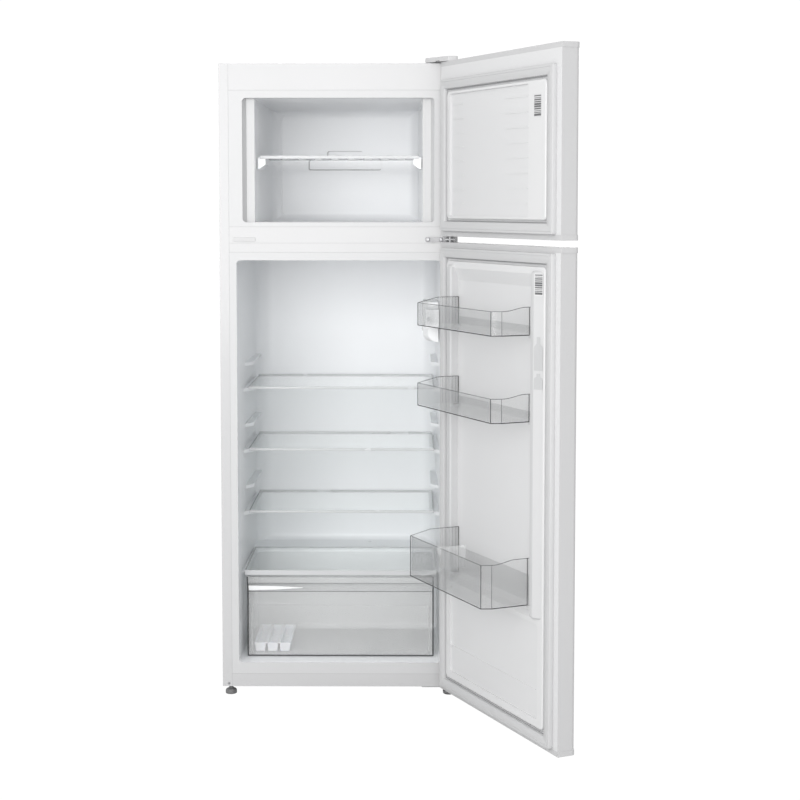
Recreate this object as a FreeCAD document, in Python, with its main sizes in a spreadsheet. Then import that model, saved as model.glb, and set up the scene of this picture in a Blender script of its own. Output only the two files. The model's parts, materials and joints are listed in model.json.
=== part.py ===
import FreeCAD, Part
import os
import re
import Sketcher

# A two-door refrigerator with the freezer on top, doors hinged on the right and standing open.
# Millimetres. X to the right seen from the front, Y towards the back, Z up.
# The origin is on the floor, at the centre of the cabinet's footprint.
# Door pieces are drawn with the door closed and then swung about the hinge axis.

V = FreeCAD.Vector
doc = FreeCAD.newDocument("refrigerator")
sizes = doc.addObject("Spreadsheet::Sheet", "sizes")
nodes = {}

DIMENSIONS = {
    # cabinet
    "half_width": 270,
    "front": -250,
    "back": 250,
    "underside": 22,
    "top": 1449,
    "steel": 0.8,
    "plastic": 2,
    "side_flange": 22,
    "top_band": 1389,
    "beam_low": 1024,
    "beam_high": 1082,
    "sill": 52,
    # freezer space
    "freezer_mouth": 217,
    "freezer_ledge": 209,
    "freezer_half": 191,
    "freezer_half_back": 183,
    "ledge_depth": 20,
    "freezer_low": 1092,
    "freezer_high": 1372,
    "freezer_fall": 7,
    "freezer_corner": 28,
    "inner_depth": 428,
    # fridge space
    "fridge_half": 232,
    "fridge_half_back": 226,
    "fridge_low": 78,
    "fridge_high": 1006,
    "fridge_corner": 40,
    "mouth_corner": 9,
    "step_depth": 325,
    "step_high": 280,
    # compressor bay
    "bay_front": 125,
    "bay_roof": 240,
    # shelves, measured back from the front plane
    "shelf_front": 114,
    "shelf_length": 275,
    "shelf_half": 218,
    "glass": 4,
    "trim": 3.5,
    "shelf_upper_top": 705,
    "shelf_middle_top": 559,
    "shelf_lower_top": 411,
    "rail_half": 208,
    "rail": 8,
    "cover_top": 281,
    "cover_front": 53,
    "cover_length": 270,
    "cover_half": 224,
    "lamp_face": 192.5,
    # crisper drawer
    "drawer_half": 217,
    "drawer_front": 52,
    "drawer_back": 312,
    "drawer_low": 79,
    "drawer_high": 269,
    "clear_wall": 2.5,
    # ice tray
    "tray_left": -205,
    "tray_width": 87,
    "tray_front": 86,
    "tray_length": 172,
    "tray_height": 20,
    # freezer shelf
    "freezer_shelf_top": 1243,
    "freezer_shelf_half": 182,
    # doors
    "door_gap": 11.6,
    "door_depth": 40.8,
    "door_open": 115,
    "pivot_inset": 17.2,
    "pivot_offset": 15.5,
    "freezer_door_low": 1061.5,
    "freezer_door_high": 1450,
    "fridge_door_low": 25,
    "fridge_door_high": 1048,
    "cap": 11,
    "cap_lip": 1.2,
    "gasket_half": 252,
    "gasket_width": 25,
    "gasket_edge": 11.5,
    "freezer_gasket_high": 1409,
    "door_corner": 9,
    "panel_half": 222,
    "panel_rise": 9,
    "dyke_rise": 19.6,
    "dyke_inner": 181,
    "dyke_outer": 196,
    # door bins
    "bin_half": 177,
    "bin_reach": 90,
    "bin_upper_low": 869,
    "bin_middle_low": 693,
    "bin_depth": 50,
    "bin_bevel": 9,
    "bin_bevel_length": 20,
    "bottle_half": 174,
    "bottle_reach": 109,
    "bottle_low": 316,
    "bottle_depth": 90,
    # hinges and fasteners
    "pin": 4,
    "pin_play": 0.08,
    "hinge_plate": 3,
    "hinge_rise": 1.2,
    "screw_shank": 2.5,
    "screw_head": 4.6,
    # cooling circuit
    "pipe": 3,
    "condenser_pipe": 2.4,
    "condenser_wire": 0.8,
}


def fill_sheet():
    for row, (alias, value) in enumerate(DIMENSIONS.items(), 1):
        sizes.set(f"A{row}", alias)
        sizes.set(f"B{row}", str(value))
        sizes.setAlias(f"B{row}", alias)
    doc.recompute()


def size(alias):
    return float(getattr(sizes, alias))


def bind(item, prop, formula):
    """Bind a property to a formula whose words are aliases of the sheet."""
    item.setExpression(prop, re.sub(r"[a-z]\w*", r"sizes.\g<0>", str(formula)))


def box(name, x, y, z):
    """A block between a low and a high formula along each axis."""
    block = doc.addObject("Part::Box", name)
    for prop, axis, (low, high) in zip(("Length", "Width", "Height"), "xyz", (x, y, z)):
        bind(block, prop, f"({high}) - ({low})")
        bind(block, f"Placement.Base.{axis}", low)
    return block


TURNS = {
    "x": FreeCAD.Rotation(V(0, 1, 0), 90),
    "y": FreeCAD.Rotation(V(1, 0, 0), -90),
    "z": FreeCAD.Rotation(),
}


def rod(name, axis, radius, start, length):
    """A cylinder that runs from a start point along an axis."""
    cylinder = doc.addObject("Part::Cylinder", name)
    cylinder.Placement = FreeCAD.Placement(V(), TURNS[axis])
    bind(cylinder, "Radius", radius)
    bind(cylinder, "Height", length)
    for letter, formula in zip("xyz", start):
        bind(cylinder, f"Placement.Base.{letter}", formula)
    return cylinder


def cone(name, axis, low_radius, high_radius, start, length):
    frustum = doc.addObject("Part::Cone", name)
    frustum.Placement = FreeCAD.Placement(V(), TURNS[axis])
    bind(frustum, "Radius1", low_radius)
    bind(frustum, "Radius2", high_radius)
    bind(frustum, "Height", length)
    for letter, formula in zip("xyz", start):
        bind(frustum, f"Placement.Base.{letter}", formula)
    return frustum


def ball(name, radius, centre):
    sphere = doc.addObject("Part::Sphere", name)
    bind(sphere, "Radius", radius)
    for letter, formula in zip("xyz", centre):
        bind(sphere, f"Placement.Base.{letter}", formula)
    return sphere


def fuse(name, *pieces):
    joined = doc.addObject("Part::MultiFuse", name)
    joined.Shapes = list(pieces)
    return joined


def common(name, *pieces):
    shared = doc.addObject("Part::MultiCommon", name)
    shared.Shapes = list(pieces)
    return shared


def cut(name, base, *tools):
    result = doc.addObject("Part::Cut", name)
    result.Base = base
    result.Tool = tools[0] if len(tools) == 1 else fuse(f"{name}_tools", *tools)
    return result


def group(name, *pieces):
    """Separate solids that belong to one node."""
    bundle = doc.addObject("Part::Compound", name)
    bundle.Links = list(pieces)
    return bundle


def origin_plane(body, role):
    return [item for item in body.Origin.OriginFeatures if item.Role == role][0]


PLANES = {
    # plane: sign of the pad's direction along the axis across the plane
    "XY_Plane": 1,
    "XZ_Plane": -1,
    "YZ_Plane": 1,
}


def outline(body, plane, points, low):
    """A closed sketch whose corners are bound to formulas, at the height low across its plane."""
    sketch = body.newObject("Sketcher::SketchObject", f"{body.Name}_outline")
    sketch.AttachmentSupport = [(origin_plane(body, plane), "")]
    sketch.MapMode = "FlatFace"
    bind(sketch, "AttachmentOffset.Base.z", f"{PLANES[plane]} * ({low})")
    count = len(points)
    for index in range(count):
        start = V(10 * index, index * index, 0)
        following = (index + 1) % count
        sketch.addGeometry(Part.LineSegment(start, V(10 * following, following * following + 1, 0)))
    for index in range(count):
        sketch.addConstraint(Sketcher.Constraint("Coincident", index, 2, (index + 1) % count, 1))
    for index, (across, up) in enumerate(points):
        for kind, formula in (("DistanceX", across), ("DistanceY", up)):
            number = sketch.addConstraint(Sketcher.Constraint(kind, -1, 1, index, 1, 1.0))
            bind(sketch, f"Constraints[{number}]", formula)
    return sketch


def edges_along(shape, direction, accept=lambda centre: True):
    """Names of the straight edges along a direction whose middle is accepted."""
    names = []
    for number, edge in enumerate(shape.Edges, 1):
        if edge.Curve.TypeId != "Part::GeomLine":
            continue
        if abs(edge.tangentAt(edge.FirstParameter).dot(direction)) > 0.999:
            if accept(edge.CenterOfMass):
                names.append(f"Edge{number}")
    return names


def prism(name, plane, points, low, high, rounds=()):
    """A body padded from an outline. rounds holds (direction, accept, radius formula)."""
    body = doc.addObject("PartDesign::Body", name)
    sketch = outline(body, plane, points, low)
    pad = body.newObject("PartDesign::Pad", f"{name}_pad")
    pad.Profile = sketch
    pad.Reversed = PLANES[plane] < 0
    bind(pad, "Length", f"({high}) - ({low})")
    doc.recompute()
    for number, (direction, accept, radius) in enumerate(rounds):
        round_edges(body, f"{name}_fillet{number}", direction, accept, radius)
    return body


def round_edges(body, name, direction, accept, radius):
    """Fillet the body's straight edges that run along a direction."""
    base, chosen = body.Tip, edges_along(body.Shape, direction, accept)
    fillet = body.newObject("PartDesign::Fillet", name)
    fillet.Base = (base, chosen)
    bind(fillet, "Radius", radius)
    body.Tip = fillet
    doc.recompute()


def rectangle(x_low, x_high, y_low, y_high):
    return [(x_low, y_low), (x_high, y_low), (x_high, y_high), (x_low, y_high)]


def swing():
    """The turn that opens a door: about the hinge axis, away from the cabinet's front."""
    pivot = V(size("half_width") - size("pivot_inset"),
              size("front") - size("door_gap") - size("pivot_offset"), 0)
    return FreeCAD.Placement(V(), FreeCAD.Rotation(V(0, 0, 1), size("door_open")), pivot)


def node(name, item, door=False):
    item.Label = name
    if door:
        item.Placement = swing()
    nodes[name] = item


X, Y, Z = V(1, 0, 0), V(0, 1, 0), V(0, 0, 1)
PIVOT_X = "half_width - pivot_inset"
PIVOT_Y = "front - door_gap - pivot_offset"
DOOR_IN = "front - door_gap"
DOOR_OUT = "front - door_gap - door_depth"


# ---- cabinet ----------------------------------------------------------------------------------

def side_panel(name, side):
    """A steel side with a flange folded in along its front and a narrow one along its back."""
    wall = f"{side} * half_width"
    inner = f"{side} * (half_width - steel)"
    lip = f"{side} * (half_width - side_flange)"
    rear_lip = f"{side} * (half_width - 15)"
    points = [(wall, "front"), (lip, "front"), (lip, "front + steel"), (inner, "front + steel"),
              (inner, "back - steel"), (rear_lip, "back - steel"), (rear_lip, "back"), (wall, "back")]
    panel = prism(name, "XY_Plane", points, "underside", "top - steel")
    node(name, panel)


def top_panel():
    roof = box("roof_sheet", ("-half_width", "half_width"), ("front", "back"), ("top - steel", "top"))
    band = box("roof_band", ("-half_width + side_flange", "half_width - side_flange"),
               ("front", "front + steel"), ("top_band", "top - steel"))
    solid = fuse("roof", roof, band)
    holes = [rod(f"roof_hole{number}", "z", "screw_shank + 0.1", (x, y, "top - 2"), 4)
             for number, (x, y) in enumerate(TOP_SCREWS)]
    node("top_panel", cut("top_panel", solid, *holes))


def back_panel():
    node("back_panel", box("back_panel", ("-half_width + 15.2", "half_width - 15.2"),
                           ("back - steel", "back"), ("bay_roof", "top - steel")))


def base_plate():
    """The bottom sheet: a sill folded up along its front, a recess for the compressor at its rear."""
    inner = ("-half_width + steel", "half_width - steel")
    bottom = box("base_bottom", inner, ("front + steel", "back - steel"), ("underside", "underside + 1.2"))
    riser = box("base_riser", inner, ("bay_front - 1", "bay_front"), ("underside", "bay_roof"))
    roof = box("base_roof", inner, ("bay_front - 1", "back - steel"), ("bay_roof - 1", "bay_roof"))
    sill = box("base_sill", ("-half_width + side_flange", "half_width - side_flange"),
               ("front", "front + steel"), ("underside", "sill"))
    solid = fuse("base_solid", bottom, riser, roof, sill)
    drain = rod("base_drain_hole", "z", "8.1", (DRAIN_X, DRAIN_Y, "bay_roof - 5"), 10)
    feet = [rod(f"base_foot_hole{number}", "z", "4.2", (x, FOOT_Y, "underside - 2"), 6)
            for number, x in enumerate(FOOT_X)]
    wheels = [box(f"base_wheel_slot{number}", (f"{x} - 12", f"{x} + 12"), ("back - 50", "back - 16"),
                  ("underside - 1", "underside + 2")) for number, x in enumerate(ROLLER_X)]
    screws = [rod(f"base_screw_hole{number}", "z", "screw_shank + 0.1", (x, y, "underside - 2"), 6)
              for number, (x, y) in enumerate(BOTTOM_SCREWS)]
    node("base_plate", cut("base_plate", solid, drain, *feet, *wheels, *screws))


def middle_beam():
    plate = box("beam_plate", ("-half_width + side_flange", "half_width - side_flange"),
                ("front", "front + steel"), ("beam_low", "beam_high"))
    holes = [rod(f"beam_hole{number}", "y", "screw_shank + 0.1", (x, "front - 2", MIDDLE_Z), 6)
             for number, x in enumerate(MIDDLE_SCREWS)]
    node("middle_beam", cut("middle_beam", plate, *holes))


def hole_cover():
    """The plug plate over the spare hinge holes at the left end of the middle beam."""
    plate = prism("hinge_hole_cover", "XZ_Plane", rectangle("-239", "-188", "1048.5", "1057.5"),
                  "front - 1.5", "front", [(Y, lambda centre: True, "2")])
    node("hinge_hole_cover", plate)


def fridge_space(name, grow):
    """The fridge's inner space, grown by a wall: rounded rear corners and a step over the bay."""
    mouth, rear = f"fridge_half + {grow}", f"fridge_half_back + {grow}"
    deep = f"front + inner_depth + {grow}"
    near = "front - 5"
    plan = prism(f"{name}_plan", "XY_Plane",
                 [(f"-({mouth})", near), (mouth, near), (rear, deep), (f"-({rear})", deep)],
                 "fridge_low - 20", "fridge_high + 20",
                 [(Z, lambda c: c.y > 0, f"fridge_corner + {grow}")])
    low, high = f"fridge_low - {grow}", f"fridge_high + {grow}"
    stair, tread = f"front + step_depth + {grow}", f"step_high - {grow}"
    side = prism(f"{name}_side", "YZ_Plane",
                 [(near, low), (stair, low), (stair, tread), (deep, tread), (deep, high), (near, high)],
                 "-half_width", "half_width",
                 [(X, lambda c: c.y > 0, f"14 + {grow}")])
    face = prism(f"{name}_face", "XZ_Plane", rectangle(f"-({mouth})", mouth, low, high), near, "back",
                 [(Y, lambda c: True, f"mouth_corner + {grow}")])
    return common(name, plan, side, face)


def freezer_space(name, grow):
    """The freezer's inner space, grown by a wall: a ledge behind the mouth, then a drafted box."""
    half, rear = f"freezer_half + {grow}", f"freezer_half_back + {grow}"
    deep = f"front + inner_depth + {grow}"
    near = "front - 5"
    ledge = f"front + ledge_depth + {grow}"
    right = [(f"freezer_mouth + {grow}", near), (f"freezer_mouth + {grow}", "front + 2"),
             (f"freezer_ledge + {grow}", ledge), (half, ledge), (rear, deep)]
    left = [(f"-({x})", y) for x, y in reversed(right)]
    plan = prism(f"{name}_plan", "XY_Plane", right + left, "freezer_low - 20", "freezer_high + 20",
                 [(Z, lambda c: c.y > 0, f"freezer_corner + {grow}")])
    low, high = f"freezer_low - {grow}", f"freezer_high + {grow}"
    side = prism(f"{name}_side", "YZ_Plane",
                 [(near, low), (deep, low), (deep, f"{high} - freezer_fall"), (near, high)],
                 "-half_width", "half_width",
                 [(X, lambda c: c.y > 0, f"18 + {grow}")])
    mouth = f"freezer_mouth + {grow}"
    face = prism(f"{name}_face", "XZ_Plane", rectangle(f"-({mouth})", mouth, low, high), near, "back",
                 [(Y, lambda c: True, f"mouth_corner + {grow}")])
    return common(name, plan, side, face)


def flange(name, low, high):
    """The liner's rim, flush with the steel flanges around it."""
    return box(name, ("-half_width + side_flange", "half_width - side_flange"),
               ("front", "front + plastic"), (low, high))


def rail(name, side, inner_x, low_y, high_y, low, high):
    """A moulded rail on a side wall. Its front end runs out into the wall."""
    wall = f"{side} * (fridge_half + 1)"
    points = [(wall, low_y), (f"{side} * ({inner_x})", f"{low_y} + 34"),
              (f"{side} * ({inner_x})", high_y), (wall, high_y)]
    return prism(name, "XY_Plane", points, low, high)


def shelf_rails(name, level, low_y, high_y):
    """On both walls, the rail under a shelf and the spare rail for its higher position."""
    rails = []
    for side, word in ((-1, "left"), (1, "right")):
        seat = f"{level} - glass - 0.3"
        rails.append(rail(f"{name}_{word}", side, "rail_half", low_y, high_y, f"{seat} - rail", seat))
        rails.append(rail(f"{name}_spare_{word}", side, "rail_half + 4", f"{low_y} + 30", high_y,
                          f"{level} + 46", f"{level} + 53"))
    return rails


def fridge_liner(inner, outer):
    shell = fuse("fridge_liner_shell", outer, flange("fridge_flange", "sill", "beam_low"))
    before_front = box("fridge_before_front", ("-300", "300"), ("front - 20", "front"), ("0", "1500"))
    drain = rod("liner_drain_hole", "z", "6", (DRAIN_X, DRAIN_Y, "step_high - 10"), 20)
    hollow = cut("fridge_liner_hollow", shell, inner, before_front, drain)
    rails = []
    for level in ("shelf_upper_top", "shelf_middle_top", "shelf_lower_top"):
        rails += shelf_rails(f"rail_{level}", level, "front + shelf_front + trim + 1",
                             "front + shelf_front + shelf_length")
    for side in (-1, 1):
        rails.append(rail(f"cover_rail{side + 1}", side, "fridge_half - 14", "front + cover_front + 6",
                          "front + cover_front + 264", "cover_top - glass - 5.5", "cover_top - glass - 0.5"))
    strips = [common(f"{block.Name}_strip", block, inner) for block in rails]
    node("fridge_liner", group("fridge_liner", hollow, *strips))


def freezer_liner(inner, outer):
    shell = fuse("freezer_liner_shell", outer, flange("freezer_flange", "beam_high", "top_band"))
    before_front = box("freezer_before_front", ("-300", "300"), ("front - 20", "front"), ("0", "1500"))
    hollow = cut("freezer_liner_hollow", shell, inner, before_front)
    rear = "front + inner_depth"
    lower = prism("plaque_lower", "XZ_Plane", rectangle("-89", "89", "1220", "1242"),
                  f"{rear} - 3", f"{rear} + 1", [(Y, lambda c: True, "4")])
    upper = prism("plaque_upper", "XZ_Plane", rectangle("-43", "43", "1238", "1264"),
                  f"{rear} - 3", f"{rear} + 1", [(Y, lambda c: True, "4")])
    bound = freezer_space("bracket_bound", "1")
    brackets = common("freezer_brackets", fuse("bracket_pair", *freezer_shelf_brackets()), bound)
    node("freezer_liner", fuse("freezer_liner", hollow, lower, upper, brackets))


def cabinet_foam(fridge_outer, freezer_outer):
    block = box("foam_block", ("-half_width + steel", "half_width - steel"),
                ("front + plastic", "back - steel"), ("underside + 1.2", "top - steel"))
    bay = box("foam_bay", ("-300", "300"), ("bay_front - 1", "back + 5"), ("0", "bay_roof"))
    drain = rod("foam_drain", "z", "8.1", (DRAIN_X, DRAIN_Y, "bay_roof - 5"), 60)
    plates = [box(f"foam_{name}", x, y, z) for name, x, y, z in EVAPORATORS]
    beam_screws = [rod(f"foam_beam_screw{number}", "y", "screw_shank + 0.2", (x, "front", MIDDLE_Z), 16)
                   for number, x in enumerate(MIDDLE_SCREWS)]
    roof_screws = [rod(f"foam_roof_screw{number}", "z", "screw_shank + 0.2", (x, y, "top - 14"), 16)
                   for number, (x, y) in enumerate(TOP_SCREWS)]
    feet = [rod(f"foam_foot{number}", "z", "5", (x, FOOT_Y, "underside - 2"), 24)
            for number, x in enumerate(FOOT_X)]
    low_screws = [rod(f"foam_low_screw{number}", "z", "screw_shank + 0.2", (x, y, "underside - 2"), 18)
                  for number, (x, y) in enumerate(BOTTOM_SCREWS)]
    node("cabinet_foam", cut("cabinet_foam", block, bay, fridge_outer, freezer_outer, drain, *plates,
                             *beam_screws, *roof_screws, *feet, *low_screws))


# ---- cooling circuit --------------------------------------------------------------------------

DRAIN_X, DRAIN_Y = "60", "front + 405"
GLAND_X, GLAND_Z = "-200", "90"
# the condenser's runs of pipe, its wires and the pipe that returns from its top run
RUNS, WIRES = 13, 25
RUN_PITCH, RUN_HALF, RUN_Y, LOW_RUN, BEND = 84, 200, 262, 300, 15
ENTRY_X, RETURN_X = RUN_HALF + BEND, -235
COMPRESSOR_X, COMPRESSOR_Y = "80", "187"

EVAPORATORS = [
    ("freezer_plate_left", ("-200", "-198.5"), ("-205", "150"), ("1110", "1377")),
    ("freezer_plate_right", ("198.5", "200"), ("-205", "150"), ("1110", "1377")),
    ("freezer_plate_top", ("-200", "200"), ("-205", "150"), ("1377", "1378.5")),
    ("fridge_plate", ("-170", "170"), ("185", "186.5"), ("600", "960")),
]


def evaporators():
    """Aluminium plates in the foam: a hood around the freezer and a plate behind the fridge."""
    plates = [box(name, x, y, z) for name, x, y, z in EVAPORATORS]
    node("evaporators", group("evaporators", fuse("freezer_hood", *plates[:3]), plates[3]))


def compressor():
    """The domed steel pot on its foot plate."""
    body = doc.addObject("PartDesign::Body", "compressor_pot")
    sketch = outline(body, "XZ_Plane", [("0", "42"), ("34", "42"), ("50", "58"), ("52", "104"),
                                        ("56", "106"), ("56", "111"), ("52", "113"), ("50", "162"),
                                        ("36", "182"), ("0", "188")], "0")
    turned = body.newObject("PartDesign::Revolution", "compressor_turn")
    turned.Profile = sketch
    turned.ReferenceAxis = (sketch, ["V_Axis"])
    turned.Angle = 360
    doc.recompute()
    bind(body, "Placement.Base.x", COMPRESSOR_X)
    bind(body, "Placement.Base.y", COMPRESSOR_Y)
    plate = box("compressor_plate", (f"{COMPRESSOR_X} - 92", f"{COMPRESSOR_X} + 92"),
                (f"{COMPRESSOR_Y} - 46", f"{COMPRESSOR_Y} + 46"), ("underside + 17.2", "underside + 20.2"))
    holes = [rod(f"compressor_hole{number}", "z", "5", (x, y, "underside + 10"), 20)
             for number, (x, y) in enumerate(MOUNTS)]
    stub = rod("compressor_stub", "x", "4", (f"{COMPRESSOR_X} - 70", COMPRESSOR_Y, "96"), 40)
    node("compressor", cut("compressor", fuse("compressor_solid", body, plate, stub), *holes))


MOUNTS = [(f"{COMPRESSOR_X} {x} 80", f"{COMPRESSOR_Y} {y} 34") for x in "-+" for y in "-+"]


def compressor_mounts():
    """Rubber grommets with a neck through the foot plate."""
    mounts = []
    for number, (x, y) in enumerate(MOUNTS):
        foot = rod(f"mount_foot{number}", "z", "9", (x, y, "underside + 1.2"), 16)
        neck = rod(f"mount_neck{number}", "z", "5", (x, y, "underside + 17.2"), 3)
        head = rod(f"mount_head{number}", "z", "8", (x, y, "underside + 20.2"), 5)
        mounts.append(fuse(f"mount{number}", foot, neck, head))
    node("compressor_mounts", group("compressor_mounts", *mounts))


def relay_box():
    node("relay_box", box("relay_box", (f"{COMPRESSOR_X} + 56.2", f"{COMPRESSOR_X} + 88"),
                          (f"{COMPRESSOR_Y} - 26", f"{COMPRESSOR_Y} + 26"), ("70", "132")))


def drip_tray():
    outer = box("drip_outer", (f"{COMPRESSOR_X} - 75", f"{COMPRESSOR_X} + 75"), ("138", "238"),
                ("188.2", "208"))
    inner = box("drip_inner", (f"{COMPRESSOR_X} - 73", f"{COMPRESSOR_X} + 73"), ("140", "236"),
                ("190.2", "210"))
    node("drip_tray", cut("drip_tray", outer, inner))


def drain_tube():
    outer = rod("drain_outer", "z", "8", (DRAIN_X, DRAIN_Y, "bay_roof - 24"),
                "step_high - plastic - bay_roof + 24")
    inner = rod("drain_inner", "z", "6", (DRAIN_X, DRAIN_Y, "bay_roof - 25"), 80)
    node("drain_tube", cut("drain_tube", outer, inner))


def path_pipe(name, points, radius):
    """A pipe along runs parallel to the axes, with a round elbow at each corner."""
    pieces = []
    for number, (start, end) in enumerate(zip(points, points[1:])):
        axis = [letter for letter, a, b in zip("xyz", start, end) if a != b][0]
        low = [min(a, b) for a, b in zip(start, end)]
        length = sum(abs(a - b) for a, b in zip(start, end))
        pieces.append(rod(f"{name}_run{number}", axis, radius, low, length))
    for number, corner in enumerate(points[1:-1]):
        pieces.append(ball(f"{name}_elbow{number}", radius, corner))
    return fuse(name, *pieces)


def refrigerant_pipes():
    """Suction pipe into the bay's roof, discharge pipe to the condenser, return through the drier."""
    suction = path_pipe("suction_pipe", [(10, 187, 96), (-20, 187, 96), (-20, 187, 228), (-60, 187, 228),
                                         (-60, 214, 228), (-60, 214, 239)], "pipe")
    discharge = path_pipe("discharge_pipe", [(110, 150, 150), (190, 150, 150), (190, RUN_Y, 150),
                                             (ENTRY_X, RUN_Y, 150), (ENTRY_X, RUN_Y, LOW_RUN)],
                          "condenser_pipe")
    top_run = LOW_RUN + RUN_PITCH * (RUNS - 1)
    inlet = path_pipe("drier_inlet", [(-RUN_HALF, RUN_Y, top_run), (RETURN_X, RUN_Y, top_run),
                                      (RETURN_X, RUN_Y, 180), (-150, RUN_Y, 180), (-150, 200, 180),
                                      (-150, 200, 172)], "condenser_pipe")
    node("refrigerant_pipes", group("refrigerant_pipes", suction, discharge,
                                    fuse("drier_line", inlet, *filter_drier())))


def filter_drier():
    """A copper cartridge with tapered ends, standing in the bay."""
    body = rod("drier_body", "z", "9", ("-150", "200", "76"), 80)
    crown = cone("drier_crown", "z", "9", "3", ("-150", "200", "156"), 16)
    root = cone("drier_root", "z", "2", "9", ("-150", "200", "62"), 14)
    capillary = rod("drier_capillary", "z", "1.5", ("-150", "200", "40"), 24)
    return body, crown, root, capillary




def condenser():
    """A pipe folded back and forth up the back, with straight wires welded to its runs."""
    pieces = []
    for number in range(RUNS):
        height = LOW_RUN + RUN_PITCH * number
        pieces.append(rod(f"condenser_run{number}", "x", "condenser_pipe", (-RUN_HALF, RUN_Y, height),
                          2 * RUN_HALF))
    for number in range(RUNS - 1):
        side = 1 if number % 2 else -1
        height = LOW_RUN + RUN_PITCH * number
        riser_x = side * (RUN_HALF + BEND)
        pieces.append(rod(f"condenser_riser{number}", "z", "condenser_pipe",
                          (riser_x, RUN_Y, height + BEND), RUN_PITCH - 2 * BEND))
        for level, quarter in ((height + BEND, "low"), (height + RUN_PITCH - BEND, "high")):
            pieces.append(elbow(f"condenser_bend_{quarter}{number}", side, level, quarter))
    pieces.append(rod("condenser_entry", "x", "condenser_pipe", (RUN_HALF, RUN_Y, LOW_RUN), BEND))
    wires = []
    wire_length = RUN_PITCH * (RUNS - 1) + 16
    for number in range(WIRES):
        x = -RUN_HALF + 8 + number * (2 * RUN_HALF - 16) / (WIRES - 1)
        wires.append(rod(f"wire{number}", "z", "condenser_wire",
                         (x, f"{RUN_Y} + condenser_pipe + condenser_wire", LOW_RUN - 8), wire_length))
    node("condenser", group("condenser", fuse("condenser_pipe", *pieces), *wires))


def elbow(name, side, level, quarter):
    """A quarter ring of pipe that joins a run to a riser."""
    ring = doc.addObject("Part::Torus", name)
    bind(ring, "Radius1", BEND)
    bind(ring, "Radius2", "condenser_pipe")
    ring.Angle3 = 90
    turn = FreeCAD.Rotation(X, 90)
    start = {(1, "low"): -90, (1, "high"): 0, (-1, "high"): 90, (-1, "low"): 180}[(side, quarter)]
    ring.Placement = FreeCAD.Placement(V(side * RUN_HALF, RUN_Y, level),
                                       FreeCAD.Rotation(Y, -start).multiply(turn))
    return ring


def condenser_brackets():
    clips = []
    for number, (x, run) in enumerate(((-150, 1), (150, 1), (-150, 6), (150, 6), (-150, 11), (150, 11))):
        height = LOW_RUN + RUN_PITCH * run
        clips.append(box(f"clip{number}", (x - 9, x + 9), ("back", f"{RUN_Y} - condenser_pipe"),
                         (height - 8, height + 8)))
    node("condenser_brackets", group("condenser_brackets", *clips))


def cord_gland():
    """The strain relief where the supply cord leaves the compressor bay."""
    plate = box("gland_plate", (f"{GLAND_X} - 16", f"{GLAND_X} + 16"), ("bay_front + 0.1", "bay_front + 3"),
                ("74", "106"))
    neck = rod("gland_neck", "y", "8", (GLAND_X, "bay_front + 2", GLAND_Z), 20)
    bore = rod("gland_bore", "y", "3.6", (GLAND_X, "bay_front - 1", GLAND_Z), 30)
    node("cord_gland", cut("cord_gland", fuse("gland_solid", plate, neck), bore))


# ---- light and control ------------------------------------------------------------------------

def lamp_housing():
    """A hollow box on the right wall with an arm that carries the door switch to the front."""
    body = prism("lamp_body", "XY_Plane",
                 [("lamp_face", "-130"), ("204", "-150"), ("228.5", "-150"), ("226", "-20"),
                  ("lamp_face", "-20")], "812", "905",
                 [(Z, lambda c: c.x < 195, "3"), (Y, lambda c: c.z < 813 and c.x < 195, "20")])
    inside = box("lamp_inside", ("lamp_face - 1", "222"), ("-90", "-28"), ("838", "895"))
    arm = box("lamp_arm", ("198", "228.5"), ("front + 26", "-145"), ("850", "892"))
    pocket = rod("lamp_knob_pocket", "x", "15.5", ("lamp_face - 1", KNOB_Y, KNOB_Z), 10)
    knob_bore = rod("lamp_knob_bore", "x", "3.1", ("lamp_face", KNOB_Y, KNOB_Z), 22)
    switch_bore = rod("lamp_switch_bore", "y", "4.1", (SWITCH_X, "front + 20", SWITCH_Z), 26)
    solid = fuse("lamp_solid", body, arm)
    node("lamp_housing", cut("lamp_housing", solid, inside, pocket, knob_bore, switch_bore))


KNOB_Y, KNOB_Z = "-112", "858"
SWITCH_X, SWITCH_Z = "204", "871"


def lamp_cover():
    """The shallow clear cover over the lamp."""
    shell = box("lens_outer", ("lamp_face - 2", "lamp_face"), ("-93", "-25"), ("835", "898"))
    hollow = box("lens_inner", ("lamp_face - 1", "lamp_face + 1"), ("-90", "-28"), ("838", "895"))
    node("lamp_cover", cut("lamp_cover", shell, hollow))


def lamp_bulb():
    socket = rod("bulb_socket", "z", "9", ("207", "-59", "838"), 20)
    neck = cone("bulb_neck", "z", "7", "11", ("207", "-59", "858"), 12)
    globe = ball("bulb_globe", "12", ("207", "-59", "878"))
    node("lamp_bulb", fuse("lamp_bulb", socket, neck, globe))


def thermostat_knob():
    """A dial set in a pocket, with a pointer rib. Its stem turns in the housing."""
    dial = rod("knob_dial", "x", "15", ("lamp_face + 0.3", KNOB_Y, KNOB_Z), 8.4)
    rib = box("knob_rib", ("lamp_face - 0.8", "lamp_face + 0.5"), (f"{KNOB_Y} - 2", f"{KNOB_Y} + 2"),
              (f"{KNOB_Z} - 13", f"{KNOB_Z} + 13"))
    stem = rod("knob_stem", "x", "3.04", ("lamp_face + 8.5", KNOB_Y, KNOB_Z), 9)
    node("thermostat_knob", fuse("thermostat_knob", dial, rib, stem))


def door_switch():
    """The sprung plunger that the closed door holds in."""
    node("door_switch", rod("door_switch", "y", "4.04", (SWITCH_X, "front + 8.5", SWITCH_Z), 28))


# ---- hinges, screws, feet ---------------------------------------------------------------------

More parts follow.
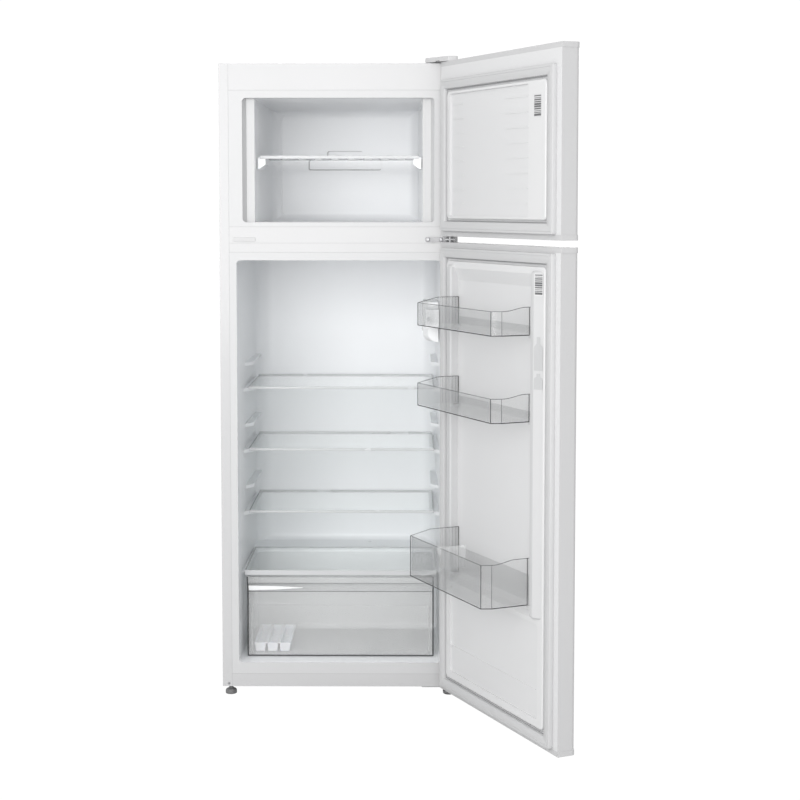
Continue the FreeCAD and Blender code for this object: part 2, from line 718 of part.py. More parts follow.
TOP_SCREWS = [("212", "front + 30"), ("252", "front + 30")]
MIDDLE_SCREWS = ["203", "233"]
MIDDLE_Z = "1053"
BOTTOM_SCREWS = [("200", "front + 35"), ("228", "front + 35")]
FOOT_X = ["-252.8", "252.8"]
FOOT_Y = "front + 22"
ROLLER_X = ["-246", "246"]


def screw(name, axis, seat, down):
    """A pan-head screw: down is the sign of its shank along the axis, from the seat."""
    index = "xyz".index(axis)
    shank_start, head_start = list(seat), list(seat)
    shank_start[index] = f"{seat[index]} - 12" if down < 0 else seat[index]
    head_start[index] = seat[index] if down < 0 else f"{seat[index]} - 2.8"
    shank = rod(f"{name}_shank", axis, "screw_shank", shank_start, 12)
    head = rod(f"{name}_head", axis, "screw_head", head_start, 2.8)
    return fuse(name, shank, head)


def hinge_screws():
    screws = [screw(f"top_screw{number}", "z", [x, y, "top + hinge_rise + hinge_plate"], -1)
              for number, (x, y) in enumerate(TOP_SCREWS)]
    screws += [screw(f"middle_screw{number}", "y", [x, "front - hinge_plate", MIDDLE_Z], 1)
               for number, x in enumerate(MIDDLE_SCREWS)]
    screws += [screw(f"bottom_screw{number}", "z", [x, y, "underside - hinge_plate"], 1)
               for number, (x, y) in enumerate(BOTTOM_SCREWS)]
    node("hinge_screws", group("hinge_screws", *screws))


def top_hinge():
    """A plate on the roof that reaches over the door, with a pin down into its top cap."""
    plate = prism("top_hinge_plate", "XY_Plane",
                  [("200", "front + 18"), ("200", "front + 44"), ("264", "front + 44"),
                   ("264", "front - 38"), ("242", "front - 38"), ("238", "front + 6")],
                  "top + hinge_rise", "top + hinge_rise + hinge_plate", [(Z, lambda c: c.y < -280, "8")])
    foot = box("top_hinge_foot", ("200", "264"), ("front + 18", "front + 44"),
               ("top", "top + hinge_rise + 0.2"))
    pin = rod("top_hinge_pin", "z", "pin", (PIVOT_X, PIVOT_Y, "freezer_door_high - cap - 6"),
              "top + hinge_rise + 0.2 - freezer_door_high + cap + 6")
    holes = [rod(f"top_hinge_hole{number}", "z", "screw_shank + 0.1", (x, y, "top - 1"), 8)
             for number, (x, y) in enumerate(TOP_SCREWS)]
    node("top_hinge", cut("top_hinge", fuse("top_hinge_solid", plate, foot, pin), *holes))


def top_hinge_cover():
    """A low hollow hood over the top hinge."""
    outer = prism("cover_outer", "XY_Plane",
                  [("196.5", "front + 10"), ("196.5", "front + 50"), ("268", "front + 50"),
                   ("268", "front - 50"), ("246", "front - 50")],
                  "top + 1.3", "top + 12.3",
                  [(Z, lambda c: True, "4"), (Y, lambda c: c.z > 1460, "2")])
    inner = prism("cover_inner", "XY_Plane",
                  [("198.5", "front + 12"), ("198.5", "front + 48"), ("266", "front + 48"),
                   ("266", "front - 48"), ("246.8", "front - 48")],
                  "top - 1", "top + 10.3", [(Z, lambda c: True, "3")])
    node("top_hinge_cover", cut("top_hinge_cover", outer, inner))


def middle_hinge():
    """A plate screwed to the middle beam, a tongue between the doors and a pin each way."""
    plate = prism("middle_hinge_plate", "XZ_Plane", rectangle("196.5", "250", "1047.5", "1058.5"),
                  "front - hinge_plate", "front", [(Y, lambda c: True, "3")])
    tongue = box("middle_hinge_tongue", ("240", "263"), (f"{PIVOT_Y} - 9", "front"),
                 ("1053", "1056"))
    pin = rod("middle_hinge_pin", "z", "pin", (PIVOT_X, PIVOT_Y, "fridge_door_high - cap - 5"),
              "freezer_door_low - fridge_door_high + 2 * cap + 10")
    collar = rod("middle_hinge_collar", "z", "7.5", (PIVOT_X, PIVOT_Y, "fridge_door_high + 0.5"),
                 "freezer_door_low - fridge_door_high - 1")
    holes = [rod(f"middle_hinge_hole{number}", "y", "screw_shank + 0.1", (x, "front - 5", MIDDLE_Z), 8)
             for number, x in enumerate(MIDDLE_SCREWS)]
    node("middle_hinge", cut("middle_hinge", fuse("middle_hinge_solid", plate, tongue, pin, collar), *holes))


def bottom_hinge():
    """A plate under the cabinet with a pin up into the fridge door and a hole for the right foot."""
    plate = prism("bottom_hinge_plate", "XY_Plane",
                  rectangle("190", "264", "front - 38", "front + 44"),
                  "underside - hinge_plate", "underside",
                  [(Z, lambda c: c.y < -250, "8")])
    notch = box("bottom_hinge_notch", ("180", "238"), ("front - 60", "front + 6"), ("0", "30"))
    pin = rod("bottom_hinge_pin", "z", "pin", (PIVOT_X, PIVOT_Y, "underside - 1"),
              "fridge_door_low - underside + cap + 6")
    collar = rod("bottom_hinge_collar", "z", "7", (PIVOT_X, PIVOT_Y, "underside - 1"),
                 "fridge_door_low - underside + 0.5")
    foot_hole = rod("bottom_hinge_foot_hole", "z", "4.2", (FOOT_X[1], FOOT_Y, "10"), 30)
    holes = [rod(f"bottom_hinge_hole{number}", "z", "screw_shank + 0.1", (x, y, "underside - 6"), 12)
             for number, (x, y) in enumerate(BOTTOM_SCREWS)]
    solid = fuse("bottom_hinge_solid", cut("bottom_hinge_arm", plate, notch), pin, collar)
    node("bottom_hinge", cut("bottom_hinge", solid, foot_hole, *holes))


def front_foot(name, x):
    """A levelling foot: a domed disc on a threaded stem."""
    disc = rod(f"{name}_disc", "z", "13", (x, FOOT_Y, "0"), 12)
    hub = cone(f"{name}_hub", "z", "13", "8", (x, FOOT_Y, "12"), 4)
    stem = rod(f"{name}_stem", "z", "4.14", (x, FOOT_Y, "15"), "underside + 5")
    node(name, fuse(name, disc, hub, stem))


def rear_roller(name, x):
    wheel = rod(f"{name}_wheel", "x", "12", (f"{x} - 8", "back - 33", "12"), 16)
    bore = rod(f"{name}_bore", "x", "3.06", (f"{x} - 10", "back - 33", "12"), 20)
    node(name, cut(name, wheel, bore))


def roller_brackets():
    """For each roller, two ears that hang from the base plate and hold its axle."""
    brackets = []
    for number, x in enumerate(ROLLER_X):
        ears = []
        for ear, (low, high) in enumerate(((f"{x} - 11", f"{x} - 9"), (f"{x} + 9", f"{x} + 11"))):
            ears.append(box(f"ear{number}{ear}", (low, high), ("back - 43", "back - 23"),
                            ("4", "underside + 8")))
        axle = rod(f"axle{number}", "x", "3", (f"{x} - 11", "back - 33", "12"), 22)
        bridge = box(f"ear_bridge{number}", (f"{x} - 11", f"{x} + 11"), ("back - 43", "back - 23"),
                     ("underside + 5", "underside + 8"))
        feet = [box(f"ear_foot{number}{end}", (f"{x} - 11", f"{x} + 11"), y,
                    ("underside + 1.2", "underside + 8"))
                for end, y in enumerate((("back - 57", "back - 43"), ("back - 23", "back - 10")))]
        brackets.append(fuse(f"roller_bracket{number}", *ears, axle, bridge, *feet))
    node("roller_brackets", group("roller_brackets", *brackets))


# ---- inside pieces ----------------------------------------------------------------------------

def glass_shelf(name, level):
    """A glass plate with a thin trim along its front edge and a higher one along its rear edge."""
    low_y, high_y = "front + shelf_front", "front + shelf_front + shelf_length"
    plate = prism(name, "XY_Plane",
                  rectangle("-shelf_half + 1", "shelf_half - 1", f"{low_y} + trim", f"{high_y} - trim"),
                  f"{level} - glass", level, [(Z, lambda c: True, "6")])
    node(name, plate)
    lip = prism(f"{name}_lip", "YZ_Plane",
                rectangle(low_y, f"{low_y} + trim", f"{level} - 5", f"{level} + 0.8"),
                "-shelf_half", "shelf_half", [(X, lambda c: c.y < -135, "1.2")])
    rear = box(f"{name}_stop", ("-shelf_half", "shelf_half"), (f"{high_y} - trim", high_y),
               (f"{level} - glass", f"{level} + 3"))
    node(f"{name}_trim", group(f"{name}_trim", lip, rear))


def crisper_cover():
    low_y, high_y = "front + cover_front", "front + cover_front + cover_length"
    plate = box("crisper_cover", ("-cover_half + 3", "cover_half - 3"), (f"{low_y} + 4", f"{high_y} - 4"),
                ("cover_top - glass", "cover_top"))
    node("crisper_cover", plate)
    ring = box("cover_ring", ("-cover_half", "cover_half"), (low_y, high_y),
               ("cover_top - glass", "cover_top + 1"))
    hole = box("cover_ring_hole", ("-cover_half + 3", "cover_half - 3"), (f"{low_y} + 4", f"{high_y} - 4"),
               ("cover_top - 20", "cover_top + 20"))
    lip = box("cover_lip", ("-cover_half + 2", "cover_half - 2"), (low_y, f"{low_y} + 4"),
              ("cover_top - 10.5", "cover_top - 3"))
    node("crisper_cover_trim", fuse("crisper_cover_trim", cut("cover_frame", ring, hole), lip))


def crisper_drawer():
    """A clear drawer whose front has a handle lip over a slanted finger grip."""
    profile = [(-8, 190), (-8, 174), (0, 168), (6, 152), (6, 121), (3.5, 119), (3.5, 0), (6.5, 0),
               (6.5, 118), (9, 120), (9, 153), (3, 170), (-4.8, 175.8), (-4.8, 187), (9, 187), (9, 190)]
    points = [(f"front + drawer_front + {y}", f"drawer_low + {z}") for y, z in profile]
    face = prism("drawer_face", "YZ_Plane", points, "-drawer_half", "drawer_half")
    tub_y = ("front + drawer_front + 3.5", "front + drawer_back")
    tub = prism("drawer_tub", "XY_Plane", rectangle("-drawer_half", "drawer_half", *tub_y),
                "drawer_low", "drawer_high", [(Z, lambda c: c.y > 0, "16")])
    hollow = prism("drawer_hollow", "XY_Plane",
                   rectangle("-drawer_half + clear_wall", "drawer_half - clear_wall",
                             "front + drawer_front - 30", "front + drawer_back - clear_wall"),
                   "drawer_low + clear_wall", "drawer_high + 10", [(Z, lambda c: c.y > 0, "13.5")])
    ahead = box("drawer_ahead", ("-300", "300"), ("front", "front + drawer_front + 9"), ("200", "300"))
    walls = cut("drawer_walls", tub, hollow, ahead)
    cheeks = []
    for side in (-1, 1):
        outer, inner = f"{side} * drawer_half", f"{side} * (drawer_half - clear_wall)"
        x = (inner, outer) if side > 0 else (outer, inner)
        cheeks.append(box(f"drawer_cheek{side + 1}", x, ("front + drawer_front + 6.5",
                                                         "front + drawer_front + 12"),
                          ("drawer_low", "drawer_high")))
    node("crisper_drawer", fuse("crisper_drawer", walls, face, *cheeks))


TRAY_COLUMNS = 3
TRAY_ROWS = 6


def ice_tray():
    """Three columns of tapered cups that hang from a rim, their row walls lower than the rim."""
    low = "drawer_low + clear_wall + 0.3"
    rim = box("tray_rim", ("tray_left", "tray_left + tray_width"),
              ("front + tray_front", "front + tray_front + tray_length"),
              (f"{low} + tray_height - 2", f"{low} + tray_height"))
    shells, hollows = [], []
    pitch, row_pitch = f"tray_width / {TRAY_COLUMNS}", f"(tray_length - 6) / {TRAY_ROWS}"
    for column in range(TRAY_COLUMNS):
        x = f"tray_left + {pitch} * {column}"
        shells.append(prism(f"tray_shell{column}", "XZ_Plane",
                            [(f"{x} + 2", f"{low} + tray_height - 1"), (f"{x} + 4", low),
                             (f"{x} + {pitch} - 4", low),
                             (f"{x} + {pitch} - 2", f"{low} + tray_height - 1")],
                            "front + tray_front + 1", "front + tray_front + tray_length - 1"))
        hollows.append(box(f"tray_trough{column}", (f"{x} + 4", f"{x} + {pitch} - 4"),
                           ("front + tray_front + 3", "front + tray_front + tray_length - 3"),
                           (f"{low} + 10", f"{low} + 30")))
        for row in range(TRAY_ROWS):
            y = f"front + tray_front + 3 + {row_pitch} * {row}"
            hollows.append(box(f"tray_cup{column}{row}", (f"{x} + 5", f"{x} + {pitch} - 5"),
                               (f"{y} + 1", f"{y} + {row_pitch} - 1"), (f"{low} + 1.5", f"{low} + 12")))
    node("ice_tray", cut("ice_tray", fuse("tray_solid", rim, *shells), *hollows))


def freezer_shelf():
    """A plastic shelf with a turned-down front edge and slots for the air."""
    level = "freezer_shelf_top"
    plate = box("freezer_plate", ("-freezer_shelf_half", "freezer_shelf_half"),
                ("front + 60", "front + 340"), (f"{level} - 3", level))
    lip = box("freezer_lip", ("-freezer_shelf_half", "freezer_shelf_half"), ("front + 57", "front + 60"),
              (f"{level} - 6", f"{level} + 1"))
    slots = [box(f"freezer_slot{number}", (f"{-150 + 40 * number}", f"{-130 + 40 * number}"),
                 ("front + 100", "front + 300"), (f"{level} - 10", f"{level} + 10")) for number in range(8)]
    node("freezer_shelf", cut("freezer_shelf", fuse("freezer_shelf_solid", plate, lip), *slots))


def freezer_shelf_brackets():
    """Wedge supports moulded on the freezer's side walls, under the shelf's edges."""
    brackets = []
    for side in (-1, 1):
        level = "freezer_shelf_top - 3.3"
        points = [(f"{side} * 170", level), (f"{side} * 188", level), (f"{side} * 188", f"{level} - 26"),
                  (f"{side} * 184", f"{level} - 26"), (f"{side} * 170", f"{level} - 16")]
        brackets.append(prism(f"shelf_bracket{side + 1}", "XZ_Plane", points, "front + 62", "front + 150"))
    return brackets


# ---- doors ------------------------------------------------------------------------------------

def door_skin(name, low, high):
    """The steel face and its folded sides between the two end caps."""
    outside = prism(f"{name}_outside", "XY_Plane", rectangle("-half_width", "half_width", DOOR_OUT, DOOR_IN),
                    f"{low} + cap", f"{high} - cap",
                    [(Z, lambda c: c.y < -280, "door_corner")])
    inside = prism(f"{name}_inside", "XY_Plane",
                   rectangle("-half_width + steel", "half_width - steel", f"{DOOR_OUT} + steel",
                             f"{DOOR_IN} + 5"), f"{low} + cap - 5", f"{high} - cap + 5",
                   [(Z, lambda c: c.y < -280, "door_corner - steel")])
    node(name, cut(name, outside, inside), door=True)


def door_caps(name, low, high):
    """The plastic end caps, slightly proud of the skin, each with the bore for a hinge pin."""
    caps = []
    for word, bottom in (("low", low), ("high", f"{high} - cap")):
        block = prism(f"{name}_{word}_block", "XY_Plane",
                      rectangle("-half_width - cap_lip", "half_width", f"{DOOR_OUT} - cap_lip", DOOR_IN),
                      bottom, f"{bottom} + cap", [(Z, lambda c: c.y < -280, "door_corner + cap_lip")])
        bore = rod(f"{name}_{word}_bore", "z", "pin + pin_play", (PIVOT_X, PIVOT_Y, f"{bottom} - 5"),
                   "cap + 10")
        caps.append(cut(f"{name}_{word}", block, bore))
    node(name, group(name, *caps), door=True)


def door_bulk(name, low, high, liner_back):
    """The foam between the skin, the caps and the liner, with wells for the hinge pins."""
    block = prism(f"{name}_block", "XY_Plane",
                  rectangle("-half_width + steel", "half_width - steel", f"{DOOR_OUT} + steel", liner_back),
                  f"{low} + cap", f"{high} - cap", [(Z, lambda c: c.y < -280, "door_corner - steel")])
    wells = [rod(f"{name}_well{number}", "z", "pin + 1", (PIVOT_X, PIVOT_Y, start), 20)
             for number, start in enumerate((f"{low} + cap - 10", f"{high} - cap - 10"))]
    node(name, cut(name, block, *wells), door=True)


def door_gasket(name, low, high):
    """The magnetic seal: a flat frame with a groove beside its outer bead, just clear of the cabinet."""
    outer = box(f"{name}_outer", ("-gasket_half", "gasket_half"), (DOOR_IN, "front - 0.5"), (low, high))
    inner = box(f"{name}_inner", ("-gasket_half + gasket_width", "gasket_half - gasket_width"),
                ("front - 50", "front + 20"), (f"{low} + gasket_width", f"{high} - gasket_width"))
    groove_out = box(f"{name}_groove_out", ("-gasket_half + 9", "gasket_half - 9"),
                     ("front - 4", "front"), (f"{low} + 9", f"{high} - 9"))
    groove_in = box(f"{name}_groove_in", ("-gasket_half + 13", "gasket_half - 13"),
                    ("front - 10", "front + 5"), (f"{low} + 13", f"{high} - 13"))
    groove = cut(f"{name}_groove", groove_out, groove_in)
    node(name, cut(name, outer, inner, groove), door=True)


def liner_plate(name, low, high):
    return box(name, ("-half_width + steel", "half_width - steel"), (f"{DOOR_IN} - plastic", DOOR_IN),
               (f"{low} + cap", f"{high} - cap"))


def bin_lugs(name, low, half):
    """Two lugs on the inner faces of the dykes that carry a bin."""
    lugs = []
    for side in (-1, 1):
        inner, outer = f"{side} * ({half} - 8)", f"{side} * (dyke_inner + 4)"
        x = (inner, outer) if side > 0 else (outer, inner)
        lugs.append(box(f"{name}{side + 1}", x, (DOOR_IN, f"{DOOR_IN} + 16"),
                        (f"{low} - 6", f"{low} - 0.5")))
    return lugs


def door_panel(name, low, high):
    """The raised panel of a door liner, inside its gasket."""
    return prism(name, "XZ_Plane", rectangle("-panel_half", "panel_half", low, high),
                 f"{DOOR_IN} - 1", f"{DOOR_IN} + panel_rise",
                 [(Y, lambda c: True, "10"), (X, lambda c: c.y > -255, "3")])


def fridge_door_liner():
    """A vacuum-formed panel: a sloped recess between two dykes that carry the bins, and a lower pan."""
    plate = liner_plate("fridge_door_plate", "fridge_door_low", "fridge_door_high")
    crest = f"{DOOR_IN} + panel_rise"
    recess = prism("fridge_door_recess", "YZ_Plane",
                   [(f"{crest} + 1", "289"), (f"{DOOR_IN} + 0.3", "300"), (f"{DOOR_IN} + 0.3", "966"),
                    (f"{crest} + 1", "996")], "-dyke_inner", "dyke_inner",
                   [(X, lambda c: c.y < -258, "6")])
    upper_pan = prism("upper_pan", "XZ_Plane", rectangle("-200", "200", "143", "280"),
                      f"{DOOR_IN} + 4", f"{DOOR_IN} + 20", [(Y, lambda c: True, "9")])
    lower_pan = prism("lower_pan", "XZ_Plane", rectangle("-200", "200", "84", "143"),
                      f"{DOOR_IN} + 5.5", f"{DOOR_IN} + 20", [(Y, lambda c: c.z < 100, "9")])
    panel = cut("fridge_panel", door_panel("fridge_panel_block", "66", "1008"), recess, upper_pan, lower_pan)
    pieces = [plate, panel]
    top = f"{DOOR_IN} + dyke_rise"
    for side in (-1, 1):
        points = [(f"{side} * (panel_half - 4)", f"{crest} - 1"), (f"{side} * dyke_outer", top),
                  (f"{side} * dyke_inner", top), (f"{side} * dyke_inner", f"{crest} - 1")]
        pieces.append(prism(f"fridge_dyke{side + 1}", "XY_Plane", points, "292", "1000",
                            [(Z, lambda c: c.y > -245, "4"), (X, lambda c: c.y > -245, "7")]))
    pieces += bin_lugs("lug_upper", "bin_upper_low", "bin_half")
    pieces += bin_lugs("lug_middle", "bin_middle_low", "bin_half")
    pieces += bin_lugs("lug_bottle", "bottle_low", "bottle_half")
    node("fridge_door_liner", fuse("fridge_door_liner", *pieces), door=True)


FREEZER_RIB_ROWS = 8
FREEZER_RIB_LOW, FREEZER_RIB_PITCH = 1134, 31


def freezer_door_liner():
    """A raised panel with a shallow recess, wider towards the hinge, and rows of short ribs inside it."""
    plate = liner_plate("freezer_door_plate", "freezer_door_low", "freezer_door_high")
    recess = prism("freezer_recess", "XZ_Plane", rectangle("-152", "208", "1107", "1375"),
                   f"{DOOR_IN} + 4", f"{DOOR_IN} + 30", [(Y, lambda c: True, "6")])
    panel = cut("freezer_panel", door_panel("freezer_panel_block", "1101", "1381"), recess)
    ribs = []
    for row in range(FREEZER_RIB_ROWS):
        height = FREEZER_RIB_LOW + FREEZER_RIB_PITCH * row
        for column, x in enumerate((("-140", "-45"), ("150", "200"))):
            ribs.append(box(f"freezer_rib{column}{row}", x, (f"{DOOR_IN} + 3", f"{DOOR_IN} + 5"),
                            (height - 1, height + 1)))
    node("freezer_door_liner", fuse("freezer_door_liner", plate, panel, *ribs), door=True)


def bin_plan(name, half, near, far, low, high):
    """An upright block over a bin's outline, with a long bevel at its corner away from the hinge."""
    points = [(half, near), (half, far), (f"-({half}) + bin_bevel", far),
              (f"-({half})", f"{far} - bin_bevel_length"), (f"-({half})", near)]
    return prism(name, "XY_Plane", points, low, high, [(Z, lambda c: c.y > -240, "2.5")])


def door_bin(name, half, reach, low, depth, back_height):
    """An open clear bin whose end walls rise towards the door, straight at the hinge end."""
    near, far, top = f"{DOOR_IN} + 1", f"front + {reach}", f"{low} + {depth}"
    bevelled = f"{far} - bin_bevel_length"
    curve = [(near, low), (far, low), (far, top), (f"{bevelled} - 10", top),
             (f"{bevelled} - 24", f"{top} + 2"), (f"{bevelled} - 40", f"{top} + 6"),
             (f"{bevelled} - 52", f"{top} + 7.5"), (near, f"{top} + 7.5")]
    ramp = [(near, low), (far, low), (far, top), (f"{far} - 48", f"{top} + 11"), (near, f"{top} + 11")]
    sides = fuse(f"{name}_sides",
                 prism(f"{name}_curve", "YZ_Plane", curve, f"-({half}) - 5", f"({half}) - 12"),
                 prism(f"{name}_ramp", "YZ_Plane", ramp, f"({half}) - 12", f"({half}) + 5"))
    block = common(f"{name}_block", sides, bin_plan(f"{name}_plan", half, near, far, low, f"{top} + 20"))
    hollow = bin_plan(f"{name}_hollow", f"{half} - clear_wall", f"{near} + clear_wall",
                      f"{far} - clear_wall", f"{low} + clear_wall", f"{top} + 30")
    back_cut = box(f"{name}_back_cut", (f"-({half}) + clear_wall", f"({half}) - clear_wall"),
                   (f"({near}) - 5", f"({near}) + 5"), (f"{low} + {back_height}", f"{top} + 30"))
    node(name, cut(name, block, hollow, back_cut), door=True)


def bottle_divider():
    """A clip that straddles the bottle bin's front wall and keeps bottles upright."""
    wall = "front + bottle_reach"
    top = "bottle_low + bottle_depth"
    arm = box("divider_arm", ("22", "25"), (f"{wall} - 60", f"{wall} - clear_wall - 0.3"),
              (f"{top} - 46", f"{top} + 2"))
    clip_y = (f"{wall} + 0.4", f"{wall} + 2.4")
    bridge = box("divider_bridge", ("14", "33"), (f"{wall} - 6", clip_y[1]),
                 (f"{top} + 0.3", f"{top} + 2.5"))
    hook = box("divider_hook", ("14", "33"), clip_y, (f"{top} - 12", f"{top} + 2.5"))
    node("bottle_divider", fuse("bottle_divider", arm, bridge, hook), door=True)


# ---- build and write --------------------------------------------------------------------------

def build():
    fill_sheet()
    side_panel("side_panel_left", -1)
    side_panel("side_panel_right", 1)
    top_panel()
    back_panel()
    base_plate()
    middle_beam()
    hole_cover()
    fridge_inner, fridge_outer = fridge_space("fridge_inner", "0"), fridge_space("fridge_outer", "plastic")
    freezer_inner = freezer_space("freezer_inner", "0")
    freezer_outer = freezer_space("freezer_outer", "plastic")
    fridge_liner(fridge_inner, fridge_outer)
    freezer_liner(freezer_inner, freezer_outer)
    cabinet_foam(fridge_outer, freezer_outer)
    evaporators()
    compressor()
    compressor_mounts()
    relay_box()
    drip_tray()
    drain_tube()
    refrigerant_pipes()
    condenser()
    condenser_brackets()
    cord_gland()
    lamp_housing()
    lamp_cover()
    lamp_bulb()
    thermostat_knob()
    door_switch()
    top_hinge()
    top_hinge_cover()
    middle_hinge()
    bottom_hinge()
    hinge_screws()
    front_foot("front_foot_left", FOOT_X[0])
    front_foot("front_foot_right", FOOT_X[1])
    rear_roller("rear_roller_left", ROLLER_X[0])
    rear_roller("rear_roller_right", ROLLER_X[1])
    roller_brackets()
    for word in ("upper", "middle", "lower"):
        glass_shelf(f"shelf_{word}", f"shelf_{word}_top")
    crisper_cover()
    crisper_drawer()
    ice_tray()
    freezer_shelf()
    for word in ("freezer", "fridge"):
        low, high = f"{word}_door_low", f"{word}_door_high"
        door_skin(f"{word}_door_skin", low, high)
        door_caps(f"{word}_door_caps", low, high)
        door_bulk(f"{word}_door_foam", low, high, f"{DOOR_IN} - plastic")
    door_gasket("freezer_door_gasket", "freezer_door_low + gasket_edge", "freezer_gasket_high")
    door_gasket("fridge_door_gasket", "fridge_door_low + gasket_edge", "fridge_door_high - gasket_edge")
    freezer_door_liner()
    fridge_door_liner()
    door_bin("door_bin_upper", "bin_half", "bin_reach", "bin_upper_low", "bin_depth", 18)
    door_bin("door_bin_middle", "bin_half", "bin_reach", "bin_middle_low", "bin_depth", 18)
    door_bin("bottle_bin", "bottle_half", "bottle_reach", "bottle_low", "bottle_depth", 57)
    bottle_divider()
    doc.recompute()


def check():
    bad = [item.Name for item in doc.Objects if "Invalid" in item.State or "Error" in item.State]
    for name, item in nodes.items():
        if item.Shape.isNull() or not item.Shape.isValid() or not item.Shape.Solids:
            bad.append(name)
    if bad:
        raise RuntimeError(f"failed objects: {bad}")


def write():
    os.makedirs("parts", exist_ok=True)
    for name, item in nodes.items():
        item.Shape.exportStep(os.path.join("parts", f"{name}.step"))
        print(f"{name}: {len(item.Shape.Solids)} solids, {item.Shape.Volume / 1000:.1f} cm3")
    print(f"{len(nodes)} nodes")


build()
check()
write()
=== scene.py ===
import bmesh
import bpy
import json
import math
from mathutils import Matrix, Vector


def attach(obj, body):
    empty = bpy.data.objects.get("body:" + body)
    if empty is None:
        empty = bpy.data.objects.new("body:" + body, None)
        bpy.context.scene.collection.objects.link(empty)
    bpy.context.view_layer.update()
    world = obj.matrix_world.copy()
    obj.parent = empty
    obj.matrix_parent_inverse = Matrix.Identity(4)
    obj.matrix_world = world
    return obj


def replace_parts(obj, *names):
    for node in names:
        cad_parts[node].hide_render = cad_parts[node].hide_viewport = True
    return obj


# The looks of a two-door refrigerator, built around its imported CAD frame. Metres, +Z up,
# X to the right seen from the front, Y towards the back.

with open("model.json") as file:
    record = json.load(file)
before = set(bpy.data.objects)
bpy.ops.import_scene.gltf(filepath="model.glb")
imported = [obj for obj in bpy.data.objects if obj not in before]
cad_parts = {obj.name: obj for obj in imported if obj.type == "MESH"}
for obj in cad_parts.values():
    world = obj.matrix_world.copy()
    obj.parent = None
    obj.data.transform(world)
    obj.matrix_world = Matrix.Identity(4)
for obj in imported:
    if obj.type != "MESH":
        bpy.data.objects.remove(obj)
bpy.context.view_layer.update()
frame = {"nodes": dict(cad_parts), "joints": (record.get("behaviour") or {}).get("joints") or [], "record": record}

MM = 0.001
WELD = 1e-6     # vertices nearer than this are one
UP = Vector((0, 0, 1))
SLOTS = {part["node"]: part["material_slot"] for part in frame["record"]["subparts"]}
JOINTS = {joint["name"]: joint for joint in frame["joints"]}
BODY_OF = {name: body for body, names in frame["record"]["behaviour"]["bodies"].items() for name in names}

# A door piece is laid out with the door shut and then turned open about the hinge, as in the CAD frame.
HINGE = Vector(JOINTS["fridge_door_hinge"]["pos_m"])
OPEN_ANGLE = math.radians(-JOINTS["fridge_door_hinge"]["range_deg"][0])
OPEN = Matrix.Translation(HINGE) @ Matrix.Rotation(OPEN_ANGLE, 4, "Z") @ Matrix.Translation(-HINGE)
SHUT = OPEN.inverted()


# ---- measuring the frame ------------------------------------------------------------------------

def corners_of(points):
    """Lowest and highest corner of the box round some points."""
    return (Vector([min(point[axis] for point in points) for axis in range(3)]),
            Vector([max(point[axis] for point in points) for axis in range(3)]))


def box_of(node, turn=None):
    """Lowest and highest corner of a CAD node, after a turn such as SHUT."""
    vertices = frame["nodes"][node].data.vertices
    return corners_of([turn @ vertex.co if turn else vertex.co for vertex in vertices])


def solids_of(node):
    """Lowest and highest corner of each separate solid of a CAD node."""
    bm = bmesh.new()
    bm.from_mesh(frame["nodes"][node].data)
    bmesh.ops.remove_doubles(bm, verts=bm.verts, dist=WELD)
    boxes, seen = [], set()
    for start in bm.verts:
        if start.index in seen:
            continue
        seen.add(start.index)
        island, waiting = [], [start]
        while waiting:
            vertex = waiting.pop()
            island.append(vertex.co.copy())
            for link in vertex.link_edges:
                other = link.other_vert(vertex)
                if other.index not in seen:
                    seen.add(other.index)
                    waiting.append(other)
        boxes.append(corners_of(island))
    bm.free()
    return boxes


# ---- materials ----------------------------------------------------------------------------------

NOISE_LOW, NOISE_HIGH = 0.3, 0.7        # most values of the noise lie between these
GLASS_IOR = 1.5
GLASS_SPREAD = 0.03                     # share by which the glass's colour wanders
GLASS_WAVE = 0.02                       # millimetres
GLASS_PASSING = 0.9                     # share of a lamp's light that a face of the glass lets through


def new_material(name):
    material = bpy.data.materials.new(name)
    material.use_nodes = True
    tree = material.node_tree
    tree.nodes.clear()
    output = tree.nodes.new("ShaderNodeOutputMaterial")
    return material, tree, output


def add(tree, kind, settings=(), links=()):
    """A node with its input values set and its input sockets linked."""
    item = tree.nodes.new(kind)
    for socket, value in dict(settings).items():
        item.inputs[socket].default_value = value
    for socket, source in dict(links).items():
        tree.links.new(source, item.inputs[socket])
    return item


def noise(tree, scale, detail, stretch=None):
    """Noise in the object's own coordinates: scale is about one over a feature's size in metres."""
    where = tree.nodes.new("ShaderNodeTexCoord").outputs["Object"]
    if stretch:
        where = add(tree, "ShaderNodeMapping", {"Scale": stretch}, {"Vector": where}).outputs["Vector"]
    texture = add(tree, "ShaderNodeTexNoise", {"Scale": scale, "Detail": detail}, {"Vector": where})
    return texture.outputs["Fac"]


def ranged(tree, value, low, high):
    """A value that wanders from low to high with the noise."""
    settings = {"From Min": NOISE_LOW, "From Max": NOISE_HIGH, "To Min": low, "To Max": high}
    return add(tree, "ShaderNodeMapRange", settings, {"Value": value}).outputs["Result"]


def mottled(tree, fac, colour, spread):
    """A colour that wanders a little darker and lighter with the noise."""
    mix = tree.nodes.new("ShaderNodeMix")
    mix.data_type = "RGBA"
    tree.links.new(fac, mix.inputs["Factor"])
    mix.inputs["A"].default_value = (*[c * (1 - spread) for c in colour], 1)
    mix.inputs["B"].default_value = (*[min(c * (1 + spread), 1) for c in colour], 1)
    return mix.outputs["Result"]


def bumped(tree, height, depth):
    """The surface's direction, disturbed by a relief of depth millimetres."""
    relief = add(tree, "ShaderNodeBump", {"Strength": 1.0, "Distance": depth * MM}, {"Height": height})
    return relief.outputs["Normal"]


